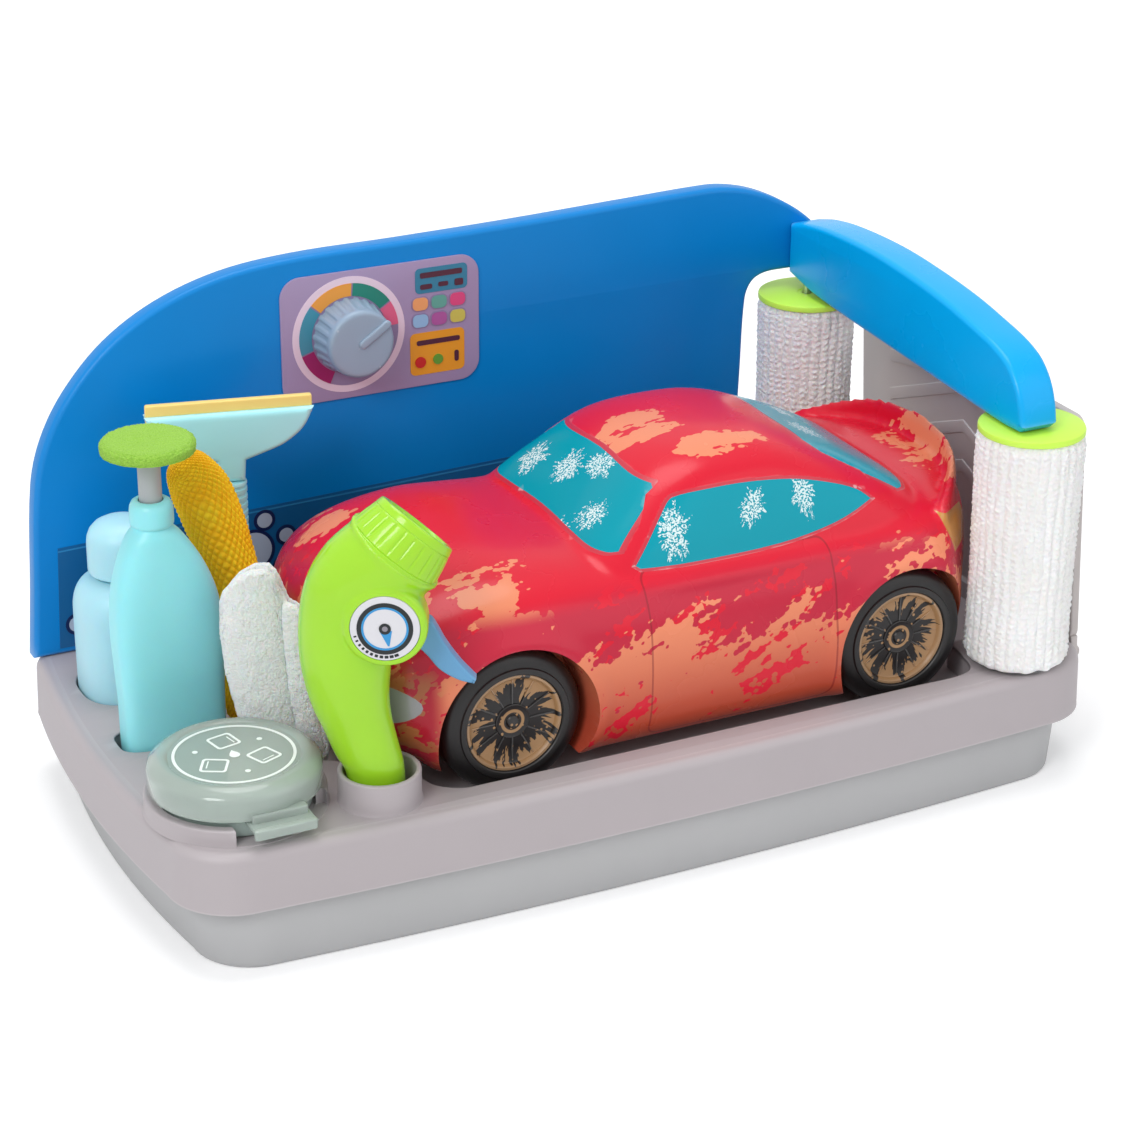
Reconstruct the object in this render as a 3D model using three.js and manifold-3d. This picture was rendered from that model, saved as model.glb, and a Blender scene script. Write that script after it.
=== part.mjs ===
import * as THREE from 'three';
import { mergeVertices, toCreasedNormals } from 'three/addons/utils/BufferGeometryUtils.js';
import Module from 'manifold-3d';

// Toy car wash play set, in millimetres, +Z up, front towards -Y, origin on the floor.
const WALL = 2.5;
const FIT = 0.4;
const RUN = 0.35;
const FACETS = 16;
const FINE = 24;
const SMALL = 12;
const SMOOTH = 0.01;
const CREASE = Math.PI / 5;
const WELL_SKIN = 1.6;

// Tray plan: straight back, bowed front and ends, round corners.
const TRAY = { halfLong: 204, back: 106.2, front: -100.8, bowEnd: 6, bowFront: 5.4, corner: 27,
  cornerBack: 16 };
const TRAY_Z = { floor: 0, skirt: 28.5, deck: 53, round: 4, draft: 0.8 };
const TUB = { inEnd: 8, inFront: 4, inBack: 6, corner: 22, draft: 2, foot: 1 };
const CORNER_STEPS = 5;
const SIDE_STEPS = 6;

// Car bay and the storage recess beside it, as plan corners.
const BAY_FLOOR = 41;
const BAY = [[-96.5, -78.5], [-91, -84], [-84, -86.4], [120, -86.4], [139, -86.2], [148, -82], [152, -69],
  [153.5, -57], [215, -57], [215, 57], [150, 57], [139, 60], [134, 70], [-96, 70], [-104, 62], [-108, 50],
  [-160, 50], [-165, 46], [-165, 30], [-148, 26], [-147, 2], [-164, -4], [-167, -15], [-162, -24],
  [-128, -41], [-116, -50], [-105, -58.5], [-99, -70]];

// Round raised ring for the ice box and round cup for the sprayer.
const RING = { at: [-170, -59], outer: 35, inner: 30.6, top: 59.6, gapHalf: 21, gapSide: 12 };
const CUP = { at: [-119.2, -79.4], outer: 16.1, inner: 14, top: 66 };
const STAND = { at: [-123.8, 61.9], bore: 6.8, outer: 9, top: 58 };

// Rollers: where they stand, the stub each turns on and its plinth height.
const ROLLER = { outer: 22.4, core: 17.6, cap: 22, capThick: 3, edge: 1, bore: 2.4, skin: 2, long: 102.5 };
const ROLLER_AT = [
  { name: 'front', at: [170, -82], plinth: 53.5, base: 8 },
  { name: 'rear', at: [161, 83], plinth: 61, base: 19 },
];
const STUB = { radius: 2, tall: 9 };
const PIN = { radius: 2, down: 9 };

// Ramp and the notch it folds into.
const RAMP = { hinge: [204.5, 46], long: 109, thick: 4, near: -77.5, far: 92, neck: 77.5, lean: 3,
  barrel: 3.4, rod: 1.5, edge: 6 };
const NOTCH = { left: 200.2, right: 214, floor: 41, half: 79 };
const CHEVRON = { rows: 4, halfWide: 60, rise: 24, band: 6, proud: 0.7, first: 30, pitch: 19, margin: 4 };
const HINGE_POST = { half: 4, at: [-66, 66] };

// Back wall outline in X and Z, and the arch beam profile in Y and Z.
const BACK = { front: 94, back: 104, bottom: 53, skin: 2.5, tabWide: 24, tabDeep: 2.4, tabs: [-150, 0, 100],
  bevel: 2.5, rim: 3.5 };
const WALL_EDGE = [[-203, 53], [-201, 80], [-197.5, 128], [-192, 148], [-181, 167], [-163, 186], [-140, 200],
  [-112, 209], [-80, 212.5], [-33, 213], [20, 214], [80, 216], [112, 217], [124, 216.6], [138, 213.5],
  [152, 207.5],
  [164, 200], [173, 191.5], [176, 184], [176, 174], [155, 174.4], [145, 173.8], [139, 170.5], [136, 163],
  [134.6, 130], [133.6, 100], [133, 53]];
const BEAM = { left: 157, right: 175, skin: 2.4, post: 4.2, tongue: 12, tongueDeep: 5, bevel: 1.6 };
const BEAM_TOP = [[94, 196], [80, 199.5], [60, 202], [30, 203], [5, 202], [-30, 198.5], [-55, 194],
  [-70, 190.5], [-80, 186], [-87, 179], [-91, 171]];
const BEAM_UNDER = [[-93, 162.5], [-90, 159.8], [-78, 159.4], [0, 164], [70, 168.6], [94, 173]];
const BEAM_INSIDE = [[88, 193], [60, 198.5], [30, 199.6], [5, 198.6], [-30, 195], [-55, 190.6], [-70, 187],
  [-78, 183], [-86, 174], [-89, 166]];

// Control panel plate and timer knob on the wall.
const PANEL = { left: -88.5, right: 2.5, low: 147.5, high: 204, thick: 1, corner: 9 };
const KNOB = { at: [-58, 176], radius: 16.3, deep: 15, gap: 0.6, ribs: 18, rib: 0.7, shaft: 3,
  clip: 4.6, clipThick: 2 };
const KNOB_ARROW = { angle: 34, inside: 4, outside: 14.5, half: 2, proud: 0.6 };

// Car: centre line, body sections along X as [x, half width, bottom, top].
const CAR = { mid: -10, skin: 2.4, wheelX: [-61.3, 115.6], axleZ: 71.1, arch: 33, archSkin: 1.8, archRoom: 1,
  reach: 200, sill: 52, windowIn: 30 };
const CAR_BODY = [[-120, 30, 70, 98], [-118.5, 45, 64, 104], [-113, 57, 59.5, 112], [-102, 67, 56, 119.5],
  [-85, 72, 38, 126.5], [-60, 74, 38, 130], [-38, 74, 38, 128.8], [-20, 74, 38, 127.4], [20, 73.4, 38, 127],
  [70, 73.8, 38, 127.6], [115, 74, 38, 129.4], [134, 71.5, 42, 129.4], [146, 61.5, 48, 128.6],
  [154, 52.5, 56, 128], [160, 44, 64, 127], [163, 34, 72, 125]];
const CAR_CABIN = [[112, -33, 148, 63.5, 6], [121, -26.5, 141, 61, 6], [130, -17, 130, 57.6, 5.4],
  [140, -4.6, 112, 52.5, 4.6], [148, 5.6, 94, 47.4, 4], [153, 13.6, 83, 42, 3.4], [156.6, 24, 71, 33, 3],
  [158.6, 36, 58, 20, 2.6]];
const CAR_ROUND = 3.6;
const CAR_STEPS = 20;
const SPOILER = { low: 122, lip: 3.5, edge: [[141, -69, 125, 7], [152, -57, 131.5, 13],
  [160.5, -44, 136.5, 17], [165, -28, 139, 19], [166.5, -10, 139.5, 20]] };
const SIDE_WINDOW = [[-6, 123], [-3, 121], [20, 120.4], [60, 121], [86, 124.6], [107, 131], [100, 136.5],
  [86, 141.6], [70, 145.2], [50, 147], [30, 147], [17, 145.6], [12.5, 142.5]];
const WINDSCREEN = [[-54, 127.4], [-50, 126.4], [-30, 128], [0, 129], [30, 128], [50, 126.4], [54, 127.4],
  [43, 146.6], [39, 149.4], [0, 151.6], [-39, 149.4], [-43, 146.6]];
const REAR_WINDOW = [[-51, 130], [-47, 128.8], [-25, 130], [0, 130.8], [25, 130], [47, 128.8], [51, 130],
  [42, 148], [38, 150], [0, 152.5], [-38, 150], [-42, 148]];
const WINDSCREEN_SIDE = [[-60, 110], [-16, 110], [-9.5, 121], [8.5, 145], [26, 156], [-60, 156]];
const REAR_SIDE = [[80, 156], [92, 147], [106, 139.5], [114, 131], [120, 126], [134, 126], [134, 156]];
const TAIL_LAMP = { x: [134, 170], y: 46, z: [104, 122], slant: 8 };
const HEAD_LAMP = { x: [-140, -96], y: 56, half: 12, z: 86, tall: 8 };
const UNDERPAN = { low: 54, high: 57, centre: 23, halfLong: 112, halfWide: 60, block: 6, blockHalf: 40,
  blockTop: 76 };
const AXLE = { radius: 2.5, run: 0.4, halfLong: 60 };
const TYRE = { radius: 30, wide: 20, bore: 20.6, face: 68.6, round: 3, lip: 1.2 };
const RIM = { radius: 20.6, wide: 15, dish: 3, lip: 2, slope: 1, hub: 7, spokes: 5, spokeShare: 0.2,
  slotIn: 9.5, slotOut: 16.4, slotDeep: 2 };

// Sprayer, in a plane that is turned to face the front left corner.
const TURN = -26.3;
const SPRAYER = { at: [-118.6, -79.6], flat: 0.86 };
const SPRAYER_BODY = [[-1.2, 41, 10, 0], [-1.4, 52, 10.8, 0], [-2.4, 66, 11.2, 4], [-5.4, 75, 12.3, 11],
  [-8.6, 86, 13.1, 12], [-11.2, 97, 15, 7], [-12.2, 111, 17.2, 2], [-12, 125, 17.8, -5],
  [-9, 138, 18.6, -22], [-3, 147, 19.2, -33], [5.1, 154, 18.8, -40]];
const NOZZLE = { at: [5.2, 154.1], out: [0.64, 0.768], long: 16, back: 19.5, face: 16, ribs: 24, rib: 0.6,
  edge: 1, bore: 11.5, deep: 4 };
const BOSS = { at: [3.8, 132.6], radius: 15.8, front: [4.8, 17.5], back: [-10, -4.8], seat: 13.1,
  seatDeep: 1.2 };
const GAUGE = { radius: 12.8, thick: 1.6 };
const TRIGGER = { pivot: [11.5, 125.6], hub: 4.4, half: 3.4, pin: 1.5 };
const TRIGGER_EDGE = [[14, 129.8], [19.4, 129.2], [22.1, 125.6], [25, 119.8], [30.5, 111.6], [36.6, 104.6],
  [35.8, 102.9], [29.7, 104.6], [23, 108.8], [18.2, 114.8], [13.5, 119.5], [10, 122.5]];
const TRIGGER_PIN = { from: -9, to: 9 };
const TRIGGER_ROOM = { x: 4.6, z: [100, 137] };

// Pump bottle, its collar, stem and scrub pad; soap bottle and cap.
const PUMP = { at: [-172.5, 6], skin: 1.6, neck: 6, stem: 4.5, stemX: -176.5, slack: 1 };
const PUMP_BODY = [[41, 0, 18.5, 7.6, 3], [43, 0, 20.5, 9.4, 3.4], [70, 0, 20.8, 9.6, 3.6],
  [96, -0.4, 21.8, 10.4, 3.6], [110, -0.8, 21.4, 10.6, 3.4], [124, -1.8, 18.4, 10.2, 3.2],
  [135, -3, 13.6, 9.4, 2.8], [141, -3.8, 10.2, 8.6, 2.4], [144, -4, 8, 7.4, 2]];
const PUMP_NECK = { top: 149 };
const COLLAR = { low: 144.4, high: 155, radius: 8.6, top: 6.4 };
const PLUNGER = { low: 96, high: 174.8, hub: 7, hubTall: 3 };
const PAD = { low: 174.8, high: 179.6, radius: 18.3, round: 1.4 };
const SOAP = { at: [-174, 58], skin: 1.6, slack: 0.8 };
const SOAP_BODY = [[41, 0, 17.6, 18, 2.4], [43, 0, 19.6, 20, 2.6], [86, 0, 19.8, 20, 2.6],
  [94, 0, 19, 19.4, 2.5], [100, 0.5, 16, 16.4, 2.3], [103, 1, 11.5, 11.5, 2], [112, 1, 10, 10, 2]];
const SOAP_CAP = { low: 103.6, high: 126.6, radius: 14.6, dome: 9, domeSteps: 4, neckGap: 0.5, offset: 1 };

// Squeegee, sponge and towel.
const SQUEEGEE = { turn: -13, thick: 8.5, edge: 1, grip: 6.2 };
const HEAD = [[-34.6, 163.4], [34.6, 163.4], [30, 154.5], [22, 148], [13, 144.4], [6, 142], [5.3, 133],
  [-5.3, 133], [-6, 142], [-13, 144.4], [-22, 148], [-30, 154.5]];
const BLADE = { low: 160.2, high: 168, half: 34, thick: 3 };
const GRIP_RINGS = { first: 122.6, pitch: 3.4, count: 3, deep: 0.8 };
const SPONGE = { at: [-137.3, 25.4], thick: 13, endShare: 0.7, power: 2.6 };
const SPONGE_LINE = [[2.5, 42, 7.5], [3.4, 53, 9.4], [3.6, 66, 10.2], [3.2, 80, 10.4], [1.6, 94, 10.4],
  [-0.6, 107, 10.6], [-3.8, 120, 11.2], [-7.4, 132, 12.2], [-11.8, 144, 12], [-16.4, 153, 9.8],
  [-19.2, 158.6, 6]];
const TOWEL = { at: [-142.3, -26], power: 2.8 };
const TOWEL_RINGS = [[41, 0, 12, 4.2], [45, 0, 14.6, 5.4], [60, 0, 16.6, 5.8], [80, -0.6, 17.2, 6],
  [100, -1, 17.4, 6], [110, -1, 17.2, 5.9], [118, -0.6, 15.4, 5.6], [125, 0.6, 12, 4.8],
  [129.4, 1, 7.4, 3.4]];
const TOWEL_LAP = { amp: 0.7, waves: 5 };

// Ice box and its lid.
const ICE = { outer: 30, low: 53, floor: 1.6, skin: 1.8, edge: 1, top: 64.4 };
const LID = { outer: 33.4, under: 62.2, shoulder: 72.6, top: 74.6, dish: 25.4, dishDeep: 1, plug: 27.6,
  plugLow: 60, skin: 1.8, edge: 1, crown: 29.4 };
const TAB = { left: -7, right: 18, out: 40.6, low: 57.4, high: 61.8, root: 29 };

// Screws through the tub into posts under the bay.
const SCREW = { at: [[-60, -50], [84, -50], [-60, 42], [84, 42]], post: 4.5, head: 3.4, sink: 0.3,
  headTall: 2, shank: 1.4, long: 20, pad: 6 };

const wasm = await Module();
wasm.setup();
const group = new THREE.Group();
group.name = 'toy_car_wash';

// Closed triangles from vertices and faces.
function solid(points, faces) {
  const vertProperties = new Float32Array(points.flat());
  const triVerts = new Uint32Array(faces.flat());
  const mesh = new wasm.Mesh({ numProp: 3, vertProperties, triVerts });
  mesh.merge();
  return new wasm.Manifold(mesh);
}

function fromGeometry(geometry) {
  const plain = new THREE.BufferGeometry();
  const source = geometry.index ? geometry.toNonIndexed() : geometry;
  plain.setAttribute('position', source.getAttribute('position'));
  const merged = mergeVertices(plain, FIT / 1000);
  const vertProperties = new Float32Array(merged.getAttribute('position').array);
  const triVerts = new Uint32Array(merged.index.array);
  const mesh = new wasm.Mesh({ numProp: 3, vertProperties, triVerts });
  mesh.merge();
  return new wasm.Manifold(mesh);
}

// Stack of rings, each with the same number of points, closed at both ends.
function stack(rings) {
  const count = rings[0].length;
  const points = rings.flat();
  const faces = [];
  for (let level = 0; level < rings.length - 1; level += 1) {
    for (let side = 0; side < count; side += 1) {
      const next = (side + 1) % count;
      const a = level * count + side;
      const b = level * count + next;
      faces.push([a, b, b + count], [a, b + count, a + count]);
    }
  }
  const flat = capPlane(rings[0]);
  const top = (rings.length - 1) * count;
  for (const [a, b, c] of flat) {
    faces.push([a, c, b], [top + a, top + b, top + c]);
  }
  return oriented(solid(points, faces), points, faces);
}

// Turns a solid that came out inside-out the right way round.
function oriented(shape, points, faces) {
  if (shape.volume() > 0) {
    return shape;
  }
  return solid(points, faces.map(([a, b, c]) => [a, c, b]));
}

// Triangles of a ring, found in the plane where the ring is widest.
function capPlane(ring) {
  const spans = [0, 1, 2].map((axis) => {
    const values = ring.map((point) => point[axis]);
    return Math.max(...values) - Math.min(...values);
  });
  const thin = spans.indexOf(Math.min(...spans));
  const [u, v] = [0, 1, 2].filter((axis) => axis !== thin);
  const flat = ring.map((point) => new THREE.Vector2(point[u], point[v]));
  const reversed = THREE.ShapeUtils.area(flat) < 0;
  const order = flat.map((_, index) => (reversed ? flat.length - 1 - index : index));
  const faces = THREE.ShapeUtils.triangulateShape(order.map((index) => flat[index]), []);
  return faces.map(([a, b, c]) => {
    const face = [order[a], order[b], order[c]];
    return reversed ? [face[0], face[2], face[1]] : face;
  });
}

const ringAt = (plan, z) => plan.map(([x, y]) => [x, y, z]);

// Straight column between two heights on any plan.
function column(plan, low, high) {
  return stack([ringAt(plan, low), ringAt(plan, high)]);
}

function box(x, y, z) {
  return column([[x[0], y[0]], [x[1], y[0]], [x[1], y[1]], [x[0], y[1]]], z[0], z[1]);
}

function circle(at, radius, steps = FACETS) {
  const plan = [];
  for (let step = 0; step < steps; step += 1) {
    const angle = (step / steps) * Math.PI * 2;
    plan.push([at[0] + radius * Math.cos(angle), at[1] + radius * Math.sin(angle)]);
  }
  return plan;
}

function disc(at, radius, low, high, steps = FACETS) {
  return column(circle(at, radius, steps), low, high);
}

// Rounded plan with half sizes and an exponent: 2 is an ellipse, more is squarer.
function squircle(at, halfX, halfY, power, steps = FACETS) {
  const plan = [];
  for (let step = 0; step < steps; step += 1) {
    const angle = (step / steps) * Math.PI * 2;
    const c = Math.cos(angle);
    const s = Math.sin(angle);
    const x = Math.sign(c) * Math.abs(c) ** (2 / power) * halfX;
    const y = Math.sign(s) * Math.abs(s) ** (2 / power) * halfY;
    plan.push([at[0] + x, at[1] + y]);
  }
  return plan;
}

// Plan moved inwards by a distance along the mean normal at each corner.
function inset(plan, distance) {
  const count = plan.length;
  const turn = Math.sign(THREE.ShapeUtils.area(plan.map(([x, y]) => new THREE.Vector2(x, y))));
  return plan.map((point, index) => {
    const before = plan[(index + count - 1) % count];
    const after = plan[(index + 1) % count];
    const first = new THREE.Vector2(point[0] - before[0], point[1] - before[1]).normalize();
    const second = new THREE.Vector2(after[0] - point[0], after[1] - point[1]).normalize();
    const normal = new THREE.Vector2(-(first.y + second.y), first.x + second.x).normalize();
    const open = Math.max(normal.dot(new THREE.Vector2(-first.y, first.x)), 1 / 2);
    const move = (turn * distance) / open;
    return [point[0] + normal.x * move, point[1] + normal.y * move];
  });
}

// Tray plan from its half length, front, back, corners and bows.
function trayPlan(shape) {
  const { halfLong, back, front, bowEnd, bowFront, corner, cornerBack } = shape;
  const plan = [];
  const arc = (cx, cy, radius, from) => {
    for (let step = 0; step <= CORNER_STEPS; step += 1) {
      const angle = from + ((step / CORNER_STEPS) * Math.PI) / 2;
      plan.push([cx + radius * Math.cos(angle), cy + radius * Math.sin(angle)]);
    }
  };
  const side = (from, to, bow) => {
    for (let step = 1; step < SIDE_STEPS; step += 1) {
      const t = step / SIDE_STEPS;
      const push = 1 - (2 * t - 1) ** 2;
      const x = from[0] + (to[0] - from[0]) * t + bow[0] * push;
      const y = from[1] + (to[1] - from[1]) * t + bow[1] * push;
      plan.push([x, y]);
    }
  };
  const h = halfLong;
  arc(h - cornerBack, back - cornerBack, cornerBack, 0);
  side([h - cornerBack, back], [cornerBack - h, back], [0, 0]);
  arc(cornerBack - h, back - cornerBack, cornerBack, Math.PI / 2);
  side([-h, back - cornerBack], [-h, front + corner], [-bowEnd, 0]);
  arc(corner - h, front + corner, corner, Math.PI);
  side([corner - h, front], [h - corner, front], [0, -bowFront]);
  arc(h - corner, front + corner, corner, (Math.PI * 3) / 2);
  side([h, front + corner], [h, back - cornerBack], [bowEnd, 0]);
  return plan;
}

// Profile in X and Z pushed along Y, or in Y and Z pushed along X, with bevelled faces.
function slabY(profile, from, to, bevel = 0) {
  const layers = bevel ? bevelSteps(from, to, bevel) : [[from, 0], [to, 0]];
  return stack(layers.map(([y, cut]) => inset(profile, cut).map(([x, z]) => [x, y, z])));
}

function slabX(profile, from, to, bevel = 0) {
  const layers = bevel ? bevelSteps(from, to, bevel) : [[from, 0], [to, 0]];
  return stack(layers.map(([x, cut]) => inset(profile, cut).map(([y, z]) => [x, y, z])));
}

function bevelSteps(from, to, bevel) {
  const half = bevel * (1 - Math.SQRT1_2);
  const start = [[from, bevel], [from + half, half], [from + bevel, 0]];
  return [...start, [to - bevel, 0], [to - half, half], [to, bevel]];
}

// Round bar along Y.
function barY(x, z, radius, from, to, steps = FACETS) {
  return slabY(circle([x, z], radius, steps), from, to);
}

function spin(profile, at, steps = FACETS) {
  const points = profile.map(([radius, z]) => new THREE.Vector2(radius, z));
  const lathe = new THREE.LatheGeometry(points, steps);
  lathe.rotateX(Math.PI / 2);
  lathe.translate(at[0], at[1], 0);
  const shape = fromGeometry(lathe);
  if (shape.volume() > 0) {
    return shape;
  }
  return fromGeometry(flip(lathe));
}

function flip(geometry) {
  const plain = geometry.toNonIndexed();
  const position = plain.getAttribute('position');
  const array = position.array.slice();
  for (let start = 0; start < array.length; start += 9) {
    for (let axis = 0; axis < 3; axis += 1) {
      array[start + 3 + axis] = position.array[start + 6 + axis];
      array[start + 6 + axis] = position.array[start + 3 + axis];
    }
  }
  const turned = new THREE.BufferGeometry();
  turned.setAttribute('position', new THREE.BufferAttribute(array, 3));
  return turned;
}

// Moves a solid built with X across, Y away and Z up to a spot, turned about the upright.
function place(shape, at, turn) {
  return shape.rotate([0, 0, turn]).translate([at[0], at[1], 0]);
}

function join(shapes) {
  return shapes.reduce((whole, next) => whole.add(next));
}

// The biggest of the bodies a cut leaves, without crumbs.
function largest(shape) {
  return shape.decompose().reduce((best, next) => (next.volume() > best.volume() ? next : best));
}

function add(name, shape, color) {
  const mesh = shape.asOriginal().simplify(SMOOTH).getMesh();
  const geometry = new THREE.BufferGeometry();
  geometry.setAttribute('position', new THREE.BufferAttribute(new Float32Array(mesh.vertProperties), 3));
  geometry.setIndex(new THREE.BufferAttribute(new Uint32Array(mesh.triVerts), 1));
  const creased = toCreasedNormals(geometry, CREASE);
  const material = new THREE.MeshStandardMaterial({ color, roughness: 0.5 });
  material.name = name;
  const node = new THREE.Mesh(creased, material);
  node.name = name;
  group.add(node);
}

const COLOR = {
  deck: 0xbeb9bb, tub: 0xb0b1b2, wall: 0x006eb4, beam: 0x0091d7, panel: 0x968caf, knob: 0xa5becd,
  lime: 0xc8eb5a, fleece: 0xeeecea, steel: 0xc0c4c8, ramp: 0x968f8f, red: 0xdc1937, glass: 0x00a5b4,
  tyre: 0x282a2e, rim: 0xa07d55, dark: 0x222426, amber: 0xe09030, lamp: 0x9aa0a6, green: 0xa0d72d,
  trigger: 0x5a96c3, white: 0xf2f2f2, aqua: 0x82cdd2, soap: 0xaadae6, stem: 0x968c91, pad: 0x96c846,
  head: 0xa5d7e1, blade: 0xf0cd73, sponge: 0xf0b914, towel: 0xf5f5f5, milky: 0xa5b9af,
};

// Base tub: drafted shell, open at the top, with screw pads in the floor.
const deckUnder = TRAY_Z.deck - WALL;
const tubTop = trayPlan({
  ...TRAY,
  halfLong: TRAY.halfLong - TUB.inEnd,
  front: TRAY.front + TUB.inFront,
  back: TRAY.back - TUB.inBack,
  corner: TUB.corner,
});
const tubOutside = stack([
  ringAt(inset(tubTop, TUB.draft + TUB.foot), TRAY_Z.floor),
  ringAt(inset(tubTop, TUB.draft), TRAY_Z.floor + TUB.foot),
  ringAt(tubTop, TRAY_Z.skirt),
  ringAt(tubTop, TRAY_Z.deck - TRAY_Z.round - RUN),
]);
const tubInside = stack([
  ringAt(inset(tubTop, TUB.draft + WALL), WALL),
  ringAt(inset(tubTop, WALL), TRAY_Z.skirt),
  ringAt(inset(tubTop, WALL), TRAY_Z.deck + WALL),
]);
const screwPads = SCREW.at.map((at) => disc(at, SCREW.pad, 0, SCREW.headTall + WALL, SMALL));
const screwHeads = SCREW.at.map((at) => disc(at, SCREW.head + FIT, -WALL, SCREW.headTall, SMALL));
const holeTop = SCREW.headTall + WALL * 2;
const screwHoles = SCREW.at.map((at) => disc(at, SCREW.shank + FIT, -WALL, holeTop, SMALL));
const notchTub = box(
  [NOTCH.left - WALL * 4, NOTCH.right], [-NOTCH.half - WALL, NOTCH.half + WALL],
  [BAY_FLOOR - WALL * 2, TRAY_Z.deck],
);

// Tray deck: rounded skirt and top, walls of the bay and the wells, cup and roller stubs.
const trayOutline = trayPlan(TRAY);
const round = TRAY_Z.round;
const ease = round * (1 - Math.SQRT1_2);
const deckOutside = stack([
  ringAt(trayOutline, TRAY_Z.skirt),
  ringAt(inset(trayOutline, TRAY_Z.draft), TRAY_Z.deck - round),
  ringAt(inset(trayOutline, TRAY_Z.draft + ease), TRAY_Z.deck - ease),
  ringAt(inset(trayOutline, TRAY_Z.draft + round), TRAY_Z.deck),
]);
const deckInside = stack([
  ringAt(inset(trayOutline, WALL), TRAY_Z.skirt - WALL),
  ringAt(inset(trayOutline, TRAY_Z.draft + WALL), TRAY_Z.deck - round),
  ringAt(inset(trayOutline, TRAY_Z.draft + round + WALL / 2), deckUnder),
]);
const bayShell = column(inset(BAY, -WALL), BAY_FLOOR, TRAY_Z.deck).intersect(deckOutside);
const bayHollow = column(BAY, BAY_FLOOR, TRAY_Z.deck * 2);
const wellPlan = (rings, at, grow) => {
  const widest = rings.reduce((best, ring) => (ring[2] > best[2] ? ring : best));
  return squircle([at[0] + widest[1], at[1]], widest[2] + grow, widest[3] + grow, widest[4]);
};
const wells = [
  { plan: (grow) => wellPlan(PUMP_BODY, PUMP.at, PUMP.slack + grow), top: TRAY_Z.deck },
  { plan: (grow) => wellPlan(SOAP_BODY, SOAP.at, SOAP.slack + grow), top: TRAY_Z.deck },
  { plan: (grow) => circle(CUP.at, CUP.inner + (grow ? CUP.outer - CUP.inner : 0)), top: CUP.top },
  { plan: (grow) => circle(STAND.at, STAND.bore + (grow ? STAND.outer - STAND.bore : 0)), top: STAND.top },
];
const wellShells = wells.map(({ plan, top }) => column(plan(WELL_SKIN), BAY_FLOOR, top));
const raisedRing = disc(RING.at, RING.outer, TRAY_Z.deck, RING.top, FINE);
const ringHollow = disc(RING.at, RING.inner, TRAY_Z.deck, RING.top * 2, FINE);
const wellHollows = wells.map(({ plan, top }) => column(plan(0), BAY_FLOOR, top * 2));
const plinths = ROLLER_AT.map(({ at, plinth, base }) => disc(at, base, deckUnder, plinth - RUN));
const stubs = ROLLER_AT.map(({ at, plinth }) => disc(at, STUB.radius, deckUnder, plinth + STUB.tall));
const posts = SCREW.at.map((at) => disc(at, SCREW.post, SCREW.headTall + WALL, BAY_FLOOR - WALL / 2, SMALL));
const postHoles = SCREW.at.map((at) => disc(at, SCREW.shank, 0, SCREW.headTall + SCREW.long + WALL, SMALL));
const notch = box([NOTCH.left, NOTCH.right], [-NOTCH.half, NOTCH.half], [NOTCH.floor, TRAY_Z.deck * 2]);
const rodBlocks = HINGE_POST.at.map((y) => box(
  [NOTCH.left - WALL, RAMP.hinge[0] + RAMP.rod + WALL / 2], [y - HINGE_POST.half, y + HINGE_POST.half],
  [BAY_FLOOR, RAMP.hinge[1] + RAMP.rod + WALL / 2],
));
const rodBore = barY(RAMP.hinge[0], RAMP.hinge[1], RAMP.rod + RUN / 4, -NOTCH.half, NOTCH.half, SMALL);
const ringGap = box(
  [RING.at[0] - RING.gapSide, RING.at[0] + RING.gapHalf * 2 - RING.gapSide],
  [RING.at[1] - RING.outer * 2, RING.at[1] - RING.inner / 2],
  [TRAY_Z.deck, RING.top + WALL],
);
const tabSlots = BACK.tabs.map((x) => box(
  [x - BACK.tabWide / 2 - FIT / 2, x + BACK.tabWide / 2 + FIT / 2],
  [BACK.front + WALL - FIT / 2, BACK.front + WALL * 2 + FIT / 2],
  [TRAY_Z.deck - WALL * 2, TRAY_Z.deck + WALL],
));
let deck = deckOutside.subtract(deckInside).add(bayShell).subtract(bayHollow).subtract(notch);
deck = deck.add(join([...wellShells, ...plinths, ...stubs]));
add('tray_deck', deck.subtract(join([...wellHollows, ...tabSlots])), COLOR.deck);
add('box_ring', raisedRing.subtract(join([ringHollow, ringGap])), COLOR.deck);

// Floor pan under the deck: one level plate for the car and the tools, with its posts.
const panEnd = column(inset(trayOutline, WALL + TRAY_Z.draft + FIT / 2), BAY_FLOOR - WALL, BAY_FLOOR);
const panTongue = panEnd.intersect(box([0, NOTCH.right], [-NOTCH.half, NOTCH.half], [0, BAY_FLOOR]));
const panPlate = column(inset(tubTop, WALL + FIT / 2), BAY_FLOOR - WALL, BAY_FLOOR).add(panTongue);
const pan = join([panPlate, ...posts, ...rodBlocks]).subtract(join([rodBore, ...postHoles]));
add('tray_floor', pan, COLOR.deck);

// The tub's walls are cut back round the wells.
const wellRooms = wells.map(({ plan }) => column(plan(WELL_SKIN + FIT), BAY_FLOOR - FIT, TRAY_Z.deck));
const tubCuts = join([...screwHeads, ...screwHoles, notchTub, ...wellRooms]);
add('base_tub', tubOutside.subtract(tubInside).add(join(screwPads)).subtract(tubCuts), COLOR.tub);

SCREW.at.forEach((at, index) => {
  const head = disc(at, SCREW.head, SCREW.sink, SCREW.headTall, SMALL);
  const shank = disc(at, SCREW.shank - RUN / 4, SCREW.headTall, SCREW.headTall + SCREW.long, SMALL);
  add(`screw_${index + 1}`, head.add(shank), COLOR.steel);
});

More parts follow.
